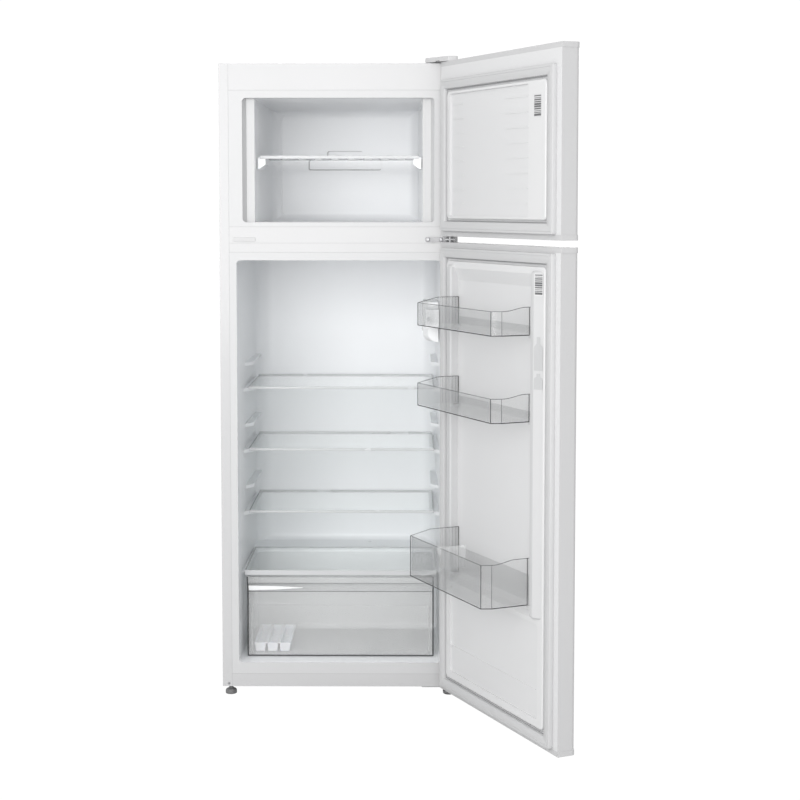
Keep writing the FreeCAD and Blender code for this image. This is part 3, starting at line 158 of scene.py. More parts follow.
def show_mix(tree, output, share, first, second):
    """Shows the first shader where the share is 0 and the second where it is 1."""
    mix = add(tree, "ShaderNodeMixShader", {}, {"Fac": share, 1: first, 2: second})
    tree.links.new(mix.outputs["Shader"], output.inputs["Surface"])


def surface(name, colour, roughness, spread, mottle, grain, depth, sockets=(), stretch=None):
    """A solid finish: mottled colour, wandering roughness and a fine relief of depth millimetres."""
    material, tree, output = new_material(name)
    wide = noise(tree, mottle, 4.0)
    fine = noise(tree, grain, 2.0, stretch)
    shader = add(tree, "ShaderNodeBsdfPrincipled", sockets,
                 {"Base Color": mottled(tree, wide, colour, spread),
                  "Roughness": ranged(tree, wide, *roughness),
                  "Normal": bumped(tree, fine, depth)})
    tree.links.new(shader.outputs["BSDF"], output.inputs["Surface"])
    return material


def glass(name, colour, roughness):
    """Glass that refracts, with slight flow marks, and lets lamps shine through it."""
    material, tree, output = new_material(name)
    wide = noise(tree, 14.0, 3.0)
    shader = add(tree, "ShaderNodeBsdfPrincipled", {"IOR": GLASS_IOR, "Transmission Weight": 1.0},
                 {"Base Color": mottled(tree, wide, colour, GLASS_SPREAD),
                  "Roughness": ranged(tree, wide, *roughness),
                  "Normal": bumped(tree, noise(tree, 60.0, 1.0), GLASS_WAVE)})
    through = add(tree, "ShaderNodeBsdfTransparent", {"Color": (*[c * GLASS_PASSING for c in colour], 1)})
    path = tree.nodes.new("ShaderNodeLightPath")
    lamp = add(tree, "ShaderNodeMath", {},
               {0: path.outputs["Is Shadow Ray"], 1: path.outputs["Is Diffuse Ray"]})
    lamp.operation = "MAXIMUM"
    show_mix(tree, output, lamp.outputs["Value"], shader.outputs["BSDF"], through.outputs["BSDF"])
    return material


def thin_wall(name, colour, roughness, opacity):
    """A thin moulded clear wall: opacity is the share of light that one of its faces keeps."""
    return surface(name, colour, roughness, spread=0.06, mottle=16, grain=70, depth=0.015,
                   sockets={"Alpha": opacity, "Coat Weight": 1.0})


# A solid finish: its colour, lowest and highest roughness, share by which the colour wanders, mottle and
# grain (each one over its size in metres), depth of the grain in millimetres, then the shader's other
# inputs and the grain's stretch along the three axes.
COATED = {"Coat Weight": 0.25, "Coat Roughness": 0.12}
SURFACES = {
    "body_paint": ((0.54, 0.54, 0.545), (0.3, 0.35), 0.008, 5, 650, 0.008, COATED),
    "door_paint": ((0.54, 0.54, 0.545), (0.28, 0.33), 0.008, 5, 650, 0.008, COATED),
    # the cabinet liners are far paler than the body's white paint, painted light that makes up for the shade
    # inside the cavities; the fridge liner's copy is a little darker, painted shade
    "liner": ((0.945, 0.955, 0.967), (0.32, 0.36), 0.004, 3, 240, 0.012),
    "fridge_liner": ((0.915, 0.925, 0.94), (0.32, 0.36), 0.004, 3, 240, 0.012),
    "door_liner": ((0.685, 0.687, 0.69), (0.32, 0.37), 0.006, 3, 240, 0.012),
    # a darker copy of the door liner: painted shade on its sunk floors
    "recess_painted_shade": ((0.665, 0.667, 0.672), (0.32, 0.37), 0.006, 3, 240, 0.012),
    # a darker copy of the liner: painted shade on the liners' mouths, a door liner's raised border and the air
    # guide rings
    "liner_painted_shade": ((0.57, 0.572, 0.577), (0.32, 0.36), 0.006, 3, 240, 0.012),
    "cap_plastic": ((0.545, 0.545, 0.55), (0.34, 0.42), 0.008, 20, 1500, 0.02),
    # dark bead in the door seal's deep groove: painted shade
    "groove_painted_shade": ((0.26, 0.26, 0.27), (0.5, 0.62), 0.05, 60, 900, 0.02),
    "faint_seam": ((0.38, 0.38, 0.385), (0.45, 0.6), 0.04, 60, 900, 0.02),
    "gasket": ((0.56, 0.562, 0.566), (0.5, 0.62), 0.015, 30, 1200, 0.02),
    "foam": ((0.8, 0.7, 0.45), (0.8, 0.95), 0.08, 60, 700, 0.4),
    "galvanised": ((0.6, 0.61, 0.62), (0.3, 0.5), 0.1, 90, 300, 0.03, {"Metallic": 0.9}),
    "hinge_steel": ((0.24, 0.24, 0.245), (0.32, 0.46), 0.08, 60, 800, 0.02, {"Metallic": 0.85}),
    "screw_steel": ((0.42, 0.42, 0.43), (0.25, 0.42), 0.08, 80, 900, 0.02, {"Metallic": 0.95}),
    "shelf_trim": ((0.68, 0.69, 0.7), (0.18, 0.28), 0.015, 12, 500, 0.02, {"Transmission Weight": 0.2}),
    # dark green strips at the shelf glass's ends: painted shade
    "glass_end_painted_shade": ((0.05, 0.075, 0.07), (0.1, 0.2), 0.2, 40, 300, 0.02),
    # a near white finish for the painted highlight on the drawer's grip
    "painted_grip_highlight": ((0.97, 0.975, 0.98), (0.3, 0.4), 0.01, 40, 900, 0.02),
    # near black beads along the polished edges of the bins and the drawer: painted shade
    "edge_painted_shade": ((0.045, 0.048, 0.05), (0.12, 0.22), 0.15, 30, 300, 0.02),
    "ice_tray": ((0.82, 0.83, 0.87), (0.3, 0.42), 0.02, 25, 700, 0.02,
                 {"Subsurface Weight": 0.1, "Subsurface Scale": 0.004}),
    "lamp_plastic": ((0.88, 0.885, 0.89), (0.3, 0.42), 0.01, 20, 900, 0.02),
    "bulb_glass": ((0.92, 0.9, 0.84), (0.2, 0.3), 0.02, 30, 400, 0.02),
    "knob_plastic": ((0.62, 0.63, 0.64), (0.35, 0.48), 0.02, 30, 1100, 0.03),
    "label": ((0.64, 0.64, 0.645), (0.35, 0.45), 0.01, 60, 1500, 0.01),
    "label_ink": ((0.13, 0.132, 0.135), (0.4, 0.5), 0.06, 200, 1500, 0.01),
    "label_grey": ((0.48, 0.485, 0.49), (0.4, 0.5), 0.02, 200, 1500, 0.01),
    "foot_plastic": ((0.17, 0.17, 0.172), (0.4, 0.56), 0.1, 50, 1200, 0.04),
    "black_paint": ((0.018, 0.018, 0.019), (0.28, 0.42), 0.15, 30, 500, 0.04),
    "black_plastic": ((0.03, 0.03, 0.031), (0.42, 0.58), 0.1, 40, 1300, 0.04),
    "black_rubber": ((0.025, 0.025, 0.025), (0.6, 0.75), 0.1, 60, 900, 0.05),
    "copper": ((0.75, 0.38, 0.22), (0.2, 0.4), 0.12, 60, 400, 0.02, {"Metallic": 1.0}),
    "aluminium": ((0.75, 0.76, 0.77), (0.3, 0.42), 0.05, 30, 500, 0.02, {"Metallic": 1.0}, (1, 1, 12)),
}

# A clear moulded plastic: its colour, lowest and highest roughness, and opacity.
THIN_WALLS = {
    "clear_plastic": ((0.955, 0.975, 0.98), (0.08, 0.14), 0.2),
    "smoke_plastic": ((0.5, 0.51, 0.515), (0.08, 0.16), 0.12),
    # a darker, less clear copy of the smoke plastic: painted shade on the bins' front walls and hinge-end ribs
    "smoke_painted_shade": ((0.36, 0.37, 0.375), (0.08, 0.16), 0.3),
    "lamp_lens": ((0.9, 0.905, 0.9), (0.3, 0.4), 0.4),
}

MATERIALS = {name: surface(name, *numbers) for name, numbers in SURFACES.items()}
MATERIALS.update({name: thin_wall(name, *numbers) for name, numbers in THIN_WALLS.items()})
MATERIALS["shelf_glass"] = glass("shelf_glass", (0.965, 0.985, 0.98), (0.0, 0.02))

# The front of these nodes has a finish of its own, down to a depth in millimetres: the base plate's front
# fold is painted like the sides, and a liner's mouth takes a darker copy of the liner, painted shade that
# matches the painted frame round it.
FRONTS = {"base_plate": (1.5, "body_paint"), "freezer_liner": (22, "liner_painted_shade"),
          "fridge_liner": (10, "liner_painted_shade")}

# Distances behind the plane that a door's seal sits on: the liner's sunk floors lie before the first, and
# its raised border reaches past the second.
SUNK_DEPTH, RAISED_DEPTH = 6.5 * MM, 15 * MM
FACING = 0.7        # cosine of the angle within which a face of a shut door's liner faces the back


def paint_frame():
    """Every CAD node takes the finish of its slot in the record, and the fridge liner a darker copy of the
    liner's, painted shade.
    """
    for name, item in frame["nodes"].items():
        item.data.materials.clear()
        item.data.materials.append(MATERIALS["fridge_liner" if name == "fridge_liner" else SLOTS[name]])
    for node, (depth, finish) in FRONTS.items():
        paint_front(node, depth * MM, finish)
    paint_recess("freezer")
    paint_recess("fridge")


def paint_front(node, depth, finish):
    """The faces of a node within a depth of its front take a second finish."""
    mesh = frame["nodes"][node].data
    mesh.materials.append(MATERIALS[finish])
    face = box_of(node)[0].y + depth
    for polygon in mesh.polygons:
        if polygon.center.y < face:
            polygon.material_index = 1


def paint_recess(door):
    """Painted shade on a door liner: its sunk floors and its raised border take darker copies of its finish."""
    mesh = frame["nodes"][f"{door}_door_liner"].data
    mesh.materials.append(MATERIALS["recess_painted_shade"])
    mesh.materials.append(MATERIALS["liner_painted_shade"])
    seal = box_of(f"{door}_door_gasket", SHUT)[0].y
    for polygon in mesh.polygons:
        middle, facing = SHUT @ polygon.center, SHUT.to_3x3() @ polygon.normal
        deepest = max((SHUT @ mesh.vertices[corner].co).y for corner in polygon.vertices)
        if facing.y > FACING and middle.y < seal + SUNK_DEPTH:
            polygon.material_index = 1
        elif deepest > seal + RAISED_DEPTH:
            polygon.material_index = 2


# ---- making pieces ------------------------------------------------------------------------------

LATHE_SIDES = 40
LEAST_RADIUS = 0.6 * MM                 # of a swept rectangle's corner
EDGE_ANGLE = math.radians(30)           # edges sharper than this are rounded
FLAT_ANGLE = math.radians(0.6)          # faces that meet at less are one face


def place(name, data, body, slot, finish=None):
    """An object in the scene, riding on a body, with the finish of a slot or one of its own."""
    item = bpy.data.objects.new(name, data)
    bpy.context.scene.collection.objects.link(item)
    data.materials.append(MATERIALS[finish or slot])
    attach(item, body)
    return item


def piece(name, bm, body, slot, sharp=30.0, finish=None):
    """A mesh object from a bmesh, shaded smooth except at edges sharper than an angle in degrees."""
    mesh = bpy.data.meshes.new(name)
    bm.normal_update()
    bm.to_mesh(mesh)
    bm.free()
    mesh.shade_smooth()
    mesh.set_sharp_from_angle(angle=math.radians(sharp))
    return place(name, mesh, body, slot, finish)


def beading(name, paths, radius, body, slot, finish=None):
    """Round beads of a radius in millimetres along paths of points, as one piece."""
    curve = bpy.data.curves.new(name, "CURVE")
    curve.dimensions = "3D"
    curve.bevel_depth = radius * MM
    curve.bevel_resolution = 2
    curve.use_fill_caps = True
    for path in paths:
        spline = curve.splines.new("POLY")
        spline.points.add(len(path) - 1)
        for knot, point in zip(spline.points, path):
            knot.co = (*point, 1)
    place(name, curve, body, slot, finish)


def soften(node, width):
    """A CAD node drawn again with its edges rounded, to a width in millimetres. It stands for the node."""
    bm = bmesh.new()
    bm.from_mesh(frame["nodes"][node].data)
    bmesh.ops.remove_doubles(bm, verts=bm.verts, dist=WELD)
    bmesh.ops.dissolve_limit(bm, angle_limit=FLAT_ANGLE, verts=bm.verts, edges=bm.edges)
    item = piece(f"{node}_finish", bm, BODY_OF[node], SLOTS[node])
    bevel = item.modifiers.new("rounded_edges", "BEVEL")
    bevel.width = width * MM
    bevel.segments = 2
    bevel.limit_method = "ANGLE"
    bevel.angle_limit = EDGE_ANGLE
    bevel.harden_normals = True
    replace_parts(item, node)
    return item


def subtract(item, cutter):
    """Cuts one piece from another for good and removes the cutter."""
    carve = item.modifiers.new("carve", "BOOLEAN")
    carve.object = cutter
    carve.operation = "DIFFERENCE"
    carve.solver = "EXACT"
    carve.use_self = True
    graph = bpy.context.evaluated_depsgraph_get()
    result = bpy.data.meshes.new_from_object(item.evaluated_get(graph), depsgraph=graph)
    item.modifiers.clear()
    item.data = result
    bpy.data.objects.remove(cutter)


def opened(paths):
    """Paths laid out on a shut door, turned open with it."""
    return [[OPEN @ Vector(point) for point in path] for path in paths]


def add_box(bm, low, high):
    """A block between two corners."""
    size = Vector(high) - Vector(low)
    middle = (Vector(high) + Vector(low)) / 2
    bmesh.ops.create_cube(bm, size=1, matrix=Matrix.Translation(middle) @ Matrix.Diagonal((*size, 1)))


def add_lathe(bm, profile, centre, axis="z"):
    """A turned shape: profile holds (radius, height) along the axis from its start to its end."""
    turn = {"z": Matrix.Identity(4), "-z": Matrix.Rotation(math.pi, 4, "X"),
            "-y": Matrix.Rotation(math.pi / 2, 4, "X")}[axis]
    stand = Matrix.Translation(Vector(centre)) @ turn
    rings = []
    for radius, height in profile:
        ring = []
        for step in range(LATHE_SIDES if radius > 0 else 1):
            angle = 2 * math.pi * step / LATHE_SIDES
            point = Vector((radius * math.cos(angle), radius * math.sin(angle), height))
            ring.append(bm.verts.new(stand @ point))
        rings.append(ring)
    for lower, upper in zip(rings, rings[1:]):
        for step in range(LATHE_SIDES):
            after = (step + 1) % LATHE_SIDES
            corners = [lower[step % len(lower)], lower[after % len(lower)],
                       upper[after % len(upper)], upper[step % len(upper)]]
            unique = list(dict.fromkeys(corners))
            if len(unique) > 2:
                bm.faces.new(unique)


def rounded_loop(low, high, radius, steps=6):
    """Points round a rectangle with rounded corners, each as (across, up)."""
    points = []
    corners = ((high[0] - radius, high[1] - radius, 0), (low[0] + radius, high[1] - radius, 90),
               (low[0] + radius, low[1] + radius, 180), (high[0] - radius, low[1] + radius, 270))
    for centre_x, centre_z, start in corners:
        for step in range(steps + 1):
            angle = math.radians(start + 90 * step / steps)
            points.append((centre_x + radius * math.cos(angle), centre_z + radius * math.sin(angle)))
    return points


def add_frame_sweep(bm, low, high, radius, profile, turn):
    """A closed profile of (inwards, y) carried round an upright rectangle with rounded corners."""
    loops = [rounded_loop((low[0] + inward, low[1] + inward), (high[0] - inward, high[1] - inward),
                          max(radius - inward, LEAST_RADIUS)) for inward, y in profile]
    rings = [[bm.verts.new(turn @ Vector((across, y, up)))
              for (across, up), (inward, y) in zip(stop, profile)] for stop in zip(*loops)]
    for here, after in zip(rings, rings[1:] + rings[:1]):
        for step in range(len(profile)):
            following = (step + 1) % len(profile)
            bm.faces.new((here[step], here[following], after[following], after[step]))


def add_card(bm, corner, across, up, outline, proud):
    """A thin flat card: its outline holds (along across, along up) and it stands proud of its corner."""
    outward = across.cross(up).normalized() * proud
    rear = [bm.verts.new(corner + across * x + up * z) for x, z in outline]
    front = [bm.verts.new(vertex.co + outward) for vertex in rear]
    bm.faces.new(front)
    bm.faces.new(rear[::-1])
    count = len(outline)
    for step in range(count):
        after = (step + 1) % count
        bm.faces.new((rear[step], rear[after], front[after], front[step]))


# ---- camera, light and floor --------------------------------------------------------------------

LENS_MM, LENS_SHIFT = 75.784, -0.09
CAMERA_PLACE = (0.1692, -4.0682, 1.1338)
CAMERA_DOWN, CAMERA_LEFT = 4.217, 0.446     # degrees

# A lamp: where it is, what it points at, its width and height in metres and its power in watts.
LAMPS = {"key": ((-0.7, -3.4, 1.42), (0, -0.1, 0.73), 2.6, 1.8, 70),
         "back": ((0.5, 3.4, 2.4), (0, 0.2, 0.7), 2.4, 1.6, 45)}

WHITE = (1, 1, 1, 1)
AMBIENT = 0.83          # strength of the surround as a light
BACKDROP = 1.05         # strength of the surround and the floor as the camera sees them
FLOOR_GLOW = 0.96       # share of the floor that shows the backdrop's white
FLOOR_HALF = 30         # metres
FLOOR_COLOUR = (0.62, 0.62, 0.62)


def make_camera():
    data = bpy.data.cameras.new("camera")
    camera = bpy.data.objects.new("camera", data)
    bpy.context.scene.collection.objects.link(camera)
    data.sensor_width = 36
    data.lens = LENS_MM
    data.shift_y = LENS_SHIFT
    camera.location = CAMERA_PLACE
    camera.rotation_euler = (math.radians(90 - CAMERA_DOWN), 0, math.radians(CAMERA_LEFT))
    bpy.context.scene.camera = camera


def area_light(name, where, target, width, height, power):
    data = bpy.data.lights.new(name, "AREA")
    data.shape = "RECTANGLE"
    data.size, data.size_y = width, height
    data.energy = power
    lamp = bpy.data.objects.new(name, data)
    lamp.location = where
    lamp.rotation_euler = (Vector(target) - Vector(where)).to_track_quat("-Z", "Y").to_euler()
    bpy.context.scene.collection.objects.link(lamp)


def make_world():
    """A white surround that lights the object less than it shows."""
    world = bpy.data.worlds.new("studio")
    bpy.context.scene.world = world
    world.use_nodes = True
    tree = world.node_tree
    tree.nodes.clear()
    output = tree.nodes.new("ShaderNodeOutputWorld")
    lighting = add(tree, "ShaderNodeBackground", {"Color": WHITE, "Strength": AMBIENT})
    backdrop = add(tree, "ShaderNodeBackground", {"Color": WHITE, "Strength": BACKDROP})
    path = tree.nodes.new("ShaderNodeLightPath")
    show_mix(tree, output, path.outputs["Is Camera Ray"],
             lighting.outputs["Background"], backdrop.outputs["Background"])


def floor_material():
    """A pale floor, overexposed like a seamless backdrop."""
    material, tree, output = new_material("floor_finish")
    wide = noise(tree, 1.5, 2.0)
    paint = add(tree, "ShaderNodeBsdfPrincipled", {},
                {"Base Color": mottled(tree, wide, FLOOR_COLOUR, 0.01),
                 "Roughness": ranged(tree, wide, 0.8, 0.9)})
    glow = add(tree, "ShaderNodeEmission", {"Color": WHITE, "Strength": BACKDROP})
    path = tree.nodes.new("ShaderNodeLightPath")
    share = add(tree, "ShaderNodeMath", {1: FLOOR_GLOW}, {0: path.outputs["Is Camera Ray"]})
    share.operation = "MULTIPLY"
    show_mix(tree, output, share.outputs["Value"], paint.outputs["BSDF"], glow.outputs["Emission"])
    return material


def make_studio():
    make_world()
    bpy.context.scene.view_settings.view_transform = "Standard"
    for name, numbers in LAMPS.items():
        area_light(name, *numbers)
    bm = bmesh.new()
    bmesh.ops.create_grid(bm, x_segments=2, y_segments=2, size=FLOOR_HALF)
    mesh = bpy.data.meshes.new("floor")
    bm.to_mesh(mesh)
    bm.free()
    mesh.materials.append(floor_material())
    floor = bpy.data.objects.new("floor", mesh)
    bpy.context.scene.collection.objects.link(floor)


# ---- doors --------------------------------------------------------------------------------------

# section of a door seal: millimetres in from its outer edge, and share of its depth
GASKET_SECTION = [(0.8, 0.0), (0.0, 0.3), (0.3, 0.86), (1.2, 1.0), (5.6, 1.0), (6.0, 0.94), (6.4, 1.0),
                  (20.6, 1.0), (21.4, 0.94), (21.6, 0.35), (24.2, 0.3), (24.6, 0.0)]
GASKET_CORNER = 5 * MM
# the dark bead in the seal's deep groove, painted shade: distance in from the outer edge, share of the depth, and
# radius at the corners
GROOVE_INSET, GROOVE_SHARE, GROOVE_CORNER = 22.9 * MM, 0.35, 1 * MM

# A door's label lies on its liner's border, from one edge of it to the other, each as x and distance behind
# the plane that the seal sits on. Then come the heights of the label's foot and head. All are millimetres.
LABELS = {"freezer": ((-205, 9), (-173, 9), 1306, 1352),
          "fridge": ((-216.5, 9.7), (-197.5, 18.9), 950, 995)}
LABEL_CORNER, LABEL_THICK, INK_THICK = 1.5 * MM, 0.15 * MM, 0.05 * MM
LABEL_GAP = 0.05 * MM
BAR_START, BAR_END = 0.07, 0.93     # shares of the label's width
# middle of each bar and its thickness, as shares of the label's height
LABEL_BARS = [(0.93, 0.05), (0.84, 0.03), (0.76, 0.06), (0.67, 0.05), (0.57, 0.09), (0.47, 0.08),
              (0.37, 0.06), (0.28, 0.03), (0.21, 0.04), (0.11, 0.1)]
BOTTLE_SIGNS = ((800, 868), (762, 794))     # foot and head of each, in millimetres
SIGN_THICK = 0.1 * MM

# wall height and rise of the end walls, away from the hinge and at the hinge, in millimetres
BINS = {"door_bin_upper": (50, 7.5, 11), "door_bin_middle": (50, 7.5, 11), "bottle_bin": (90, 7.5, 11)}
# width and length of the bevel between the front and the end wall, and length of the ramp at the hinge
BIN_BEVEL, BIN_BEVEL_LENGTH, BIN_RAMP = 9 * MM, 20 * MM, 48 * MM
# the rim's rise along the end wall: millimetres from the bevel, and share of the rise
BIN_CURVE = ((0, 0), (10, 0.05), (18, 0.17), (26, 0.38), (34, 0.62), (42, 0.85), (50, 1.0), (58, 1.0))
BIN_EDGE_INSET = 0.7 * MM
BIN_FRONT_WALL = 1.2 * MM
BIN_END_DEPTH = 18 * MM     # from the plane that the seal sits on to where the end wall meets the liner
# ribs on the end wall at the hinge: their spacing, inset from its outer face, start and number
RIB_STEP, RIB_INSET, RIB_START, RIB_COUNT = 8 * MM, 2 * MM, 3 * MM, 5


def gasket(door):
    """A door seal: a flat magnet strip with a fine groove, and a deep groove round its inner edge, its shade
    painted as a dark bead.
    """
    low, high = box_of(f"{door}_door_gasket", SHUT)
    depth = high.y - low.y
    profile = [(inward * MM, low.y + share * depth) for inward, share in GASKET_SECTION]
    bm = bmesh.new()
    add_frame_sweep(bm, (low.x, low.z), (high.x, high.z), GASKET_CORNER, profile, OPEN)
    item = piece(f"{door}_gasket_bellows", bm, f"{door}_door", "gasket", sharp=50)
    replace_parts(item, f"{door}_door_gasket")
    loop = rounded_loop((low.x + GROOVE_INSET, low.z + GROOVE_INSET),
                        (high.x - GROOVE_INSET, high.z - GROOVE_INSET), GROOVE_CORNER)
    path = [(across, low.y + GROOVE_SHARE * depth, up) for across, up in loop + loop[:1]]
    beading(f"{door}_gasket_groove_shade", opened([path]), 0.7, f"{door}_door", "gasket", "groove_painted_shade")


def label(door, corner, across, width, low, high):
    """A generic white label with bars of different thickness, and nothing to read."""
    plain, inked = bmesh.new(), bmesh.new()
    outline = rounded_loop((0, low), (width, high), LABEL_CORNER, steps=4)
    add_card(plain, corner, across, UP, outline, LABEL_THICK)
    lift = across.cross(UP).normalized() * LABEL_THICK
    start, end = width * BAR_START, width * BAR_END
    for share, thick in LABEL_BARS:
        middle, half = low + (high - low) * share, (high - low) * thick / 2
        bar = [(start, middle - half), (end, middle - half), (end, middle + half), (start, middle + half)]
        add_card(inked, corner + lift, across, UP, bar, INK_THICK)
    piece(f"{door}_label", plain, f"{door}_door", "liner", finish="label")
    piece(f"{door}_label_bars", inked, f"{door}_door", "liner", finish="label_ink")


def bottle_outline(width, low, high):
    """A bottle's side view, from its foot round over its neck."""
    shoulder, neck = low + (high - low) * 0.66, low + (high - low) * 0.8
    half = [(0.5, low), (0.5, shoulder), (0.46, shoulder + (neck - shoulder) * 0.4), (0.2, neck), (0.2, high)]
    right = [(width * (0.5 + x), z) for x, z in half]
    return right + [(width - x, z) for x, z in reversed(right)]


def door_labels():
    """Labels on the handle side of both door liners, and two pale bottle signs on the fridge door's."""
    for door, (start_mm, end_mm, foot, head) in LABELS.items():
        seal = box_of(f"{door}_door_gasket", SHUT)[0].y
        start = Vector((start_mm[0] * MM, seal + start_mm[1] * MM, 0))
        end = Vector((end_mm[0] * MM, seal + end_mm[1] * MM, 0))
        width, across = (end - start).length, (start - end).normalized()
        corner, along = OPEN @ (end + across.cross(UP) * LABEL_GAP), OPEN.to_3x3() @ across
        label(door, corner, along, width, foot * MM, head * MM)
        if door == "fridge":
            signs = bmesh.new()
            for bottom, top in BOTTLE_SIGNS:
                add_card(signs, corner, along, UP, bottle_outline(width, bottom * MM, top * MM), SIGN_THICK)
            piece("bottle_signs", signs, "fridge_door", "liner", finish="label_grey")


def shade_bin_front(item, node):
    """Painted shade: the front wall of a bin takes a darker, less clear copy of its finish."""
    item.data.materials.append(MATERIALS["smoke_painted_shade"])
    face = box_of(node, SHUT)[1].y - BIN_FRONT_WALL
    for polygon in item.data.polygons:
        if (SHUT @ polygon.center).y > face:
            polygon.material_index = 1


def bin_edges(node):
    """Dark beads along a clear bin's polished edges, painted shade where light leaves its walls there, and ribs at
    its hinge end.
    """
    low, high = box_of(node, SHUT)
    wall, rise, ramp = [value * MM for value in BINS[node]]
    left, right = low.x + BIN_EDGE_INSET, high.x - BIN_EDGE_INSET
    near, far = low.y + BIN_EDGE_INSET, high.y - BIN_EDGE_INSET
    floor, top = low.z + BIN_EDGE_INSET, low.z + wall - BIN_EDGE_INSET / 2
    bevelled, corner = far - BIN_BEVEL_LENGTH, left + BIN_BEVEL
    end = box_of("fridge_door_gasket", SHUT)[0].y + BIN_END_DEPTH
    curve = [(left, bevelled - reach * MM, top + share * rise) for reach, share in BIN_CURVE]
    front = [(right, far, top), (corner, far, top)] + curve + [(left, near, top + rise)]
    hinge_end = [(right, far, top), (right, far - BIN_RAMP, top + ramp), (right, near, top + ramp)]
    base = [(right, far, floor), (corner, far, floor), (left, bevelled, floor), (left, end, floor)]
    posts = [[(x, y, floor), (x, y, head)] for x, y, head in
             ((right, far, top), (corner, far, top), (left, end, top + rise), (right, near, top + ramp))]
    turn_of_wall = [(left, bevelled, floor), (left, bevelled, top)]
    for word, paths, radius in (("foot", [base], 1.1), ("posts", posts, 0.85),
                                ("rim", [front, hinge_end], 0.6), ("turn", [turn_of_wall], 0.45)):
        beading(f"{node}_{word}", opened(paths), radius, node, "smoke_plastic", "edge_painted_shade")
    # the ribs take the darker copy of the bin's finish, painted shade
    ribs = [[(right - RIB_INSET, near + step * RIB_STEP, floor + RIB_START),
             (right - RIB_INSET, near + step * RIB_STEP, top + ramp)] for step in range(1, RIB_COUNT + 1)]
    beading(f"{node}_ribs", opened(ribs), 0.35, node, "smoke_plastic", "smoke_painted_shade")


# ---- cabinet ------------------------------------------------------------------------------------

# A pan-head screw. Its head's profile goes in from the rim, in shares of the head's radius and height.
SCREW_HEAD, SCREW_SHANK, SCREW_LENGTH, SCREW_POINT = 2.8 * MM, 2.5 * MM, 11 * MM, 9 * MM
SCREW_CROWN = ((1, 0.45), (0.93, 0.72), (0.75, 0.93), (0.5, 1))
# Each bar of its cross recess: half length as a share of the head's radius, half width and half depth of the
# cutter, and how far the cutter's middle is above the head.
RECESS_REACH, RECESS_HALF, RECESS_DEPTH, RECESS_PROUD = 0.55, 0.5 * MM, 1.5 * MM, 0.1 * MM
UPPER_HINGES = 0.5      # metres: screws above this height are driven from above, others from below

# the sill's screw: radius and height over the front, in millimetres, and its place in metres
SILL_SCREW_PROFILE = ((0, -6), (1.6, -6), (1.6, 0), (3.2, 0), (3.1, 0.7), (2.4, 1.2), (0, 1.3))
SILL_SCREW_X, SILL_SCREW_Z = -0.2555, 0.029

# front seams: width of a side panel's flange, height of the fold in the middle beam, and how far the seams
# are sunk; then the heights of the sill's top and of the top band's foot
FLANGE_WIDTH, BEAM_FOLD, SEAM_SINK = 22 * MM, 21 * MM, 0.1 * MM
SILL_HEIGHT, BAND_FOOT = 52 * MM, 1389 * MM

# rings moulded in the freezer's back wall, in millimetres: low corner, high corner, radius of the corners
BACK_BORDER = ((-161, 1096), (178, 1362), 24)
AIR_GUIDES = (((-92, 1219), (87, 1242), 3), ((-45, 1242), (41, 1264), 3))
BACK_RELIEF = 2.6 * MM

# The hood over the top hinge has a slanted side, from this far behind its front to this far in from its
# left end. A slot runs along it between two shares of its length, its shade painted as a dark bead.
HOOD_SLANT_DEPTH, HOOD_SLANT_WIDTH = 60 * MM, 49.5 * MM
HOOD_SLOT, HOOD_SLOT_HEIGHT = (0.47, 0.63), 1.4 * MM

# profile of a levelling foot under its thread, and the thread, in millimetres
FOOT_PROFILE = [(0, 0), (11.5, 0), (12.6, 0.6), (13, 1.6), (13, 7.2), (12.4, 9.2), (10.4, 10.9), (7.6, 12.2),
                (5.4, 13.0), (5.2, 14.6)]
THREAD_START, THREAD_ROOT, THREAD_CREST = 15, 3.5, 4.1


def cross_head_screws():
    """Pan-head screws with a cross recess, one at each screw of the hinges."""
    bm, cutter = bmesh.new(), bmesh.new()
    across = Vector((1, 0, 0))
    for low, high in solids_of("hinge_screws"):
        size, middle = high - low, (high + low) / 2
        along = max(range(3), key=lambda axis: size[axis])
        radius = min(size[(along + 1) % 3], size[(along + 2) % 3]) / 2
        if along == 1:
            axis, out, centre = "-y", Vector((0, -1, 0)), Vector((middle.x, low.y + SCREW_HEAD, middle.z))
        elif middle.z > UPPER_HINGES:
            axis, out, centre = "z", UP, Vector((middle.x, middle.y, high.z - SCREW_HEAD))
        else:
            axis, out, centre = "-z", -UP, Vector((middle.x, middle.y, low.z + SCREW_HEAD))
        profile = [(0, -SCREW_LENGTH), (SCREW_SHANK * 0.5, -SCREW_LENGTH), (SCREW_SHANK, -SCREW_POINT),
                   (SCREW_SHANK, 0), (radius, 0)]
        profile += [(radius * reach, SCREW_HEAD * share) for reach, share in SCREW_CROWN]
        add_lathe(bm, profile + [(0, SCREW_HEAD)], centre, axis)
        heart = centre + out * (SCREW_HEAD + RECESS_PROUD)
        sides = [across, out.cross(across)]
        for long_side, short_side in (sides, sides[::-1]):
            half = long_side * radius * RECESS_REACH + short_side * RECESS_HALF + out * RECESS_DEPTH
            half = Vector([abs(value) for value in half])
            add_box(cutter, heart - half, heart + half)
    item = piece("cross_head_screws", bm, "cabinet", "screw_steel")
    subtract(item, piece("screw_recess_cutter", cutter, "cabinet", "screw_steel"))
    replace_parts(item, "hinge_screws")


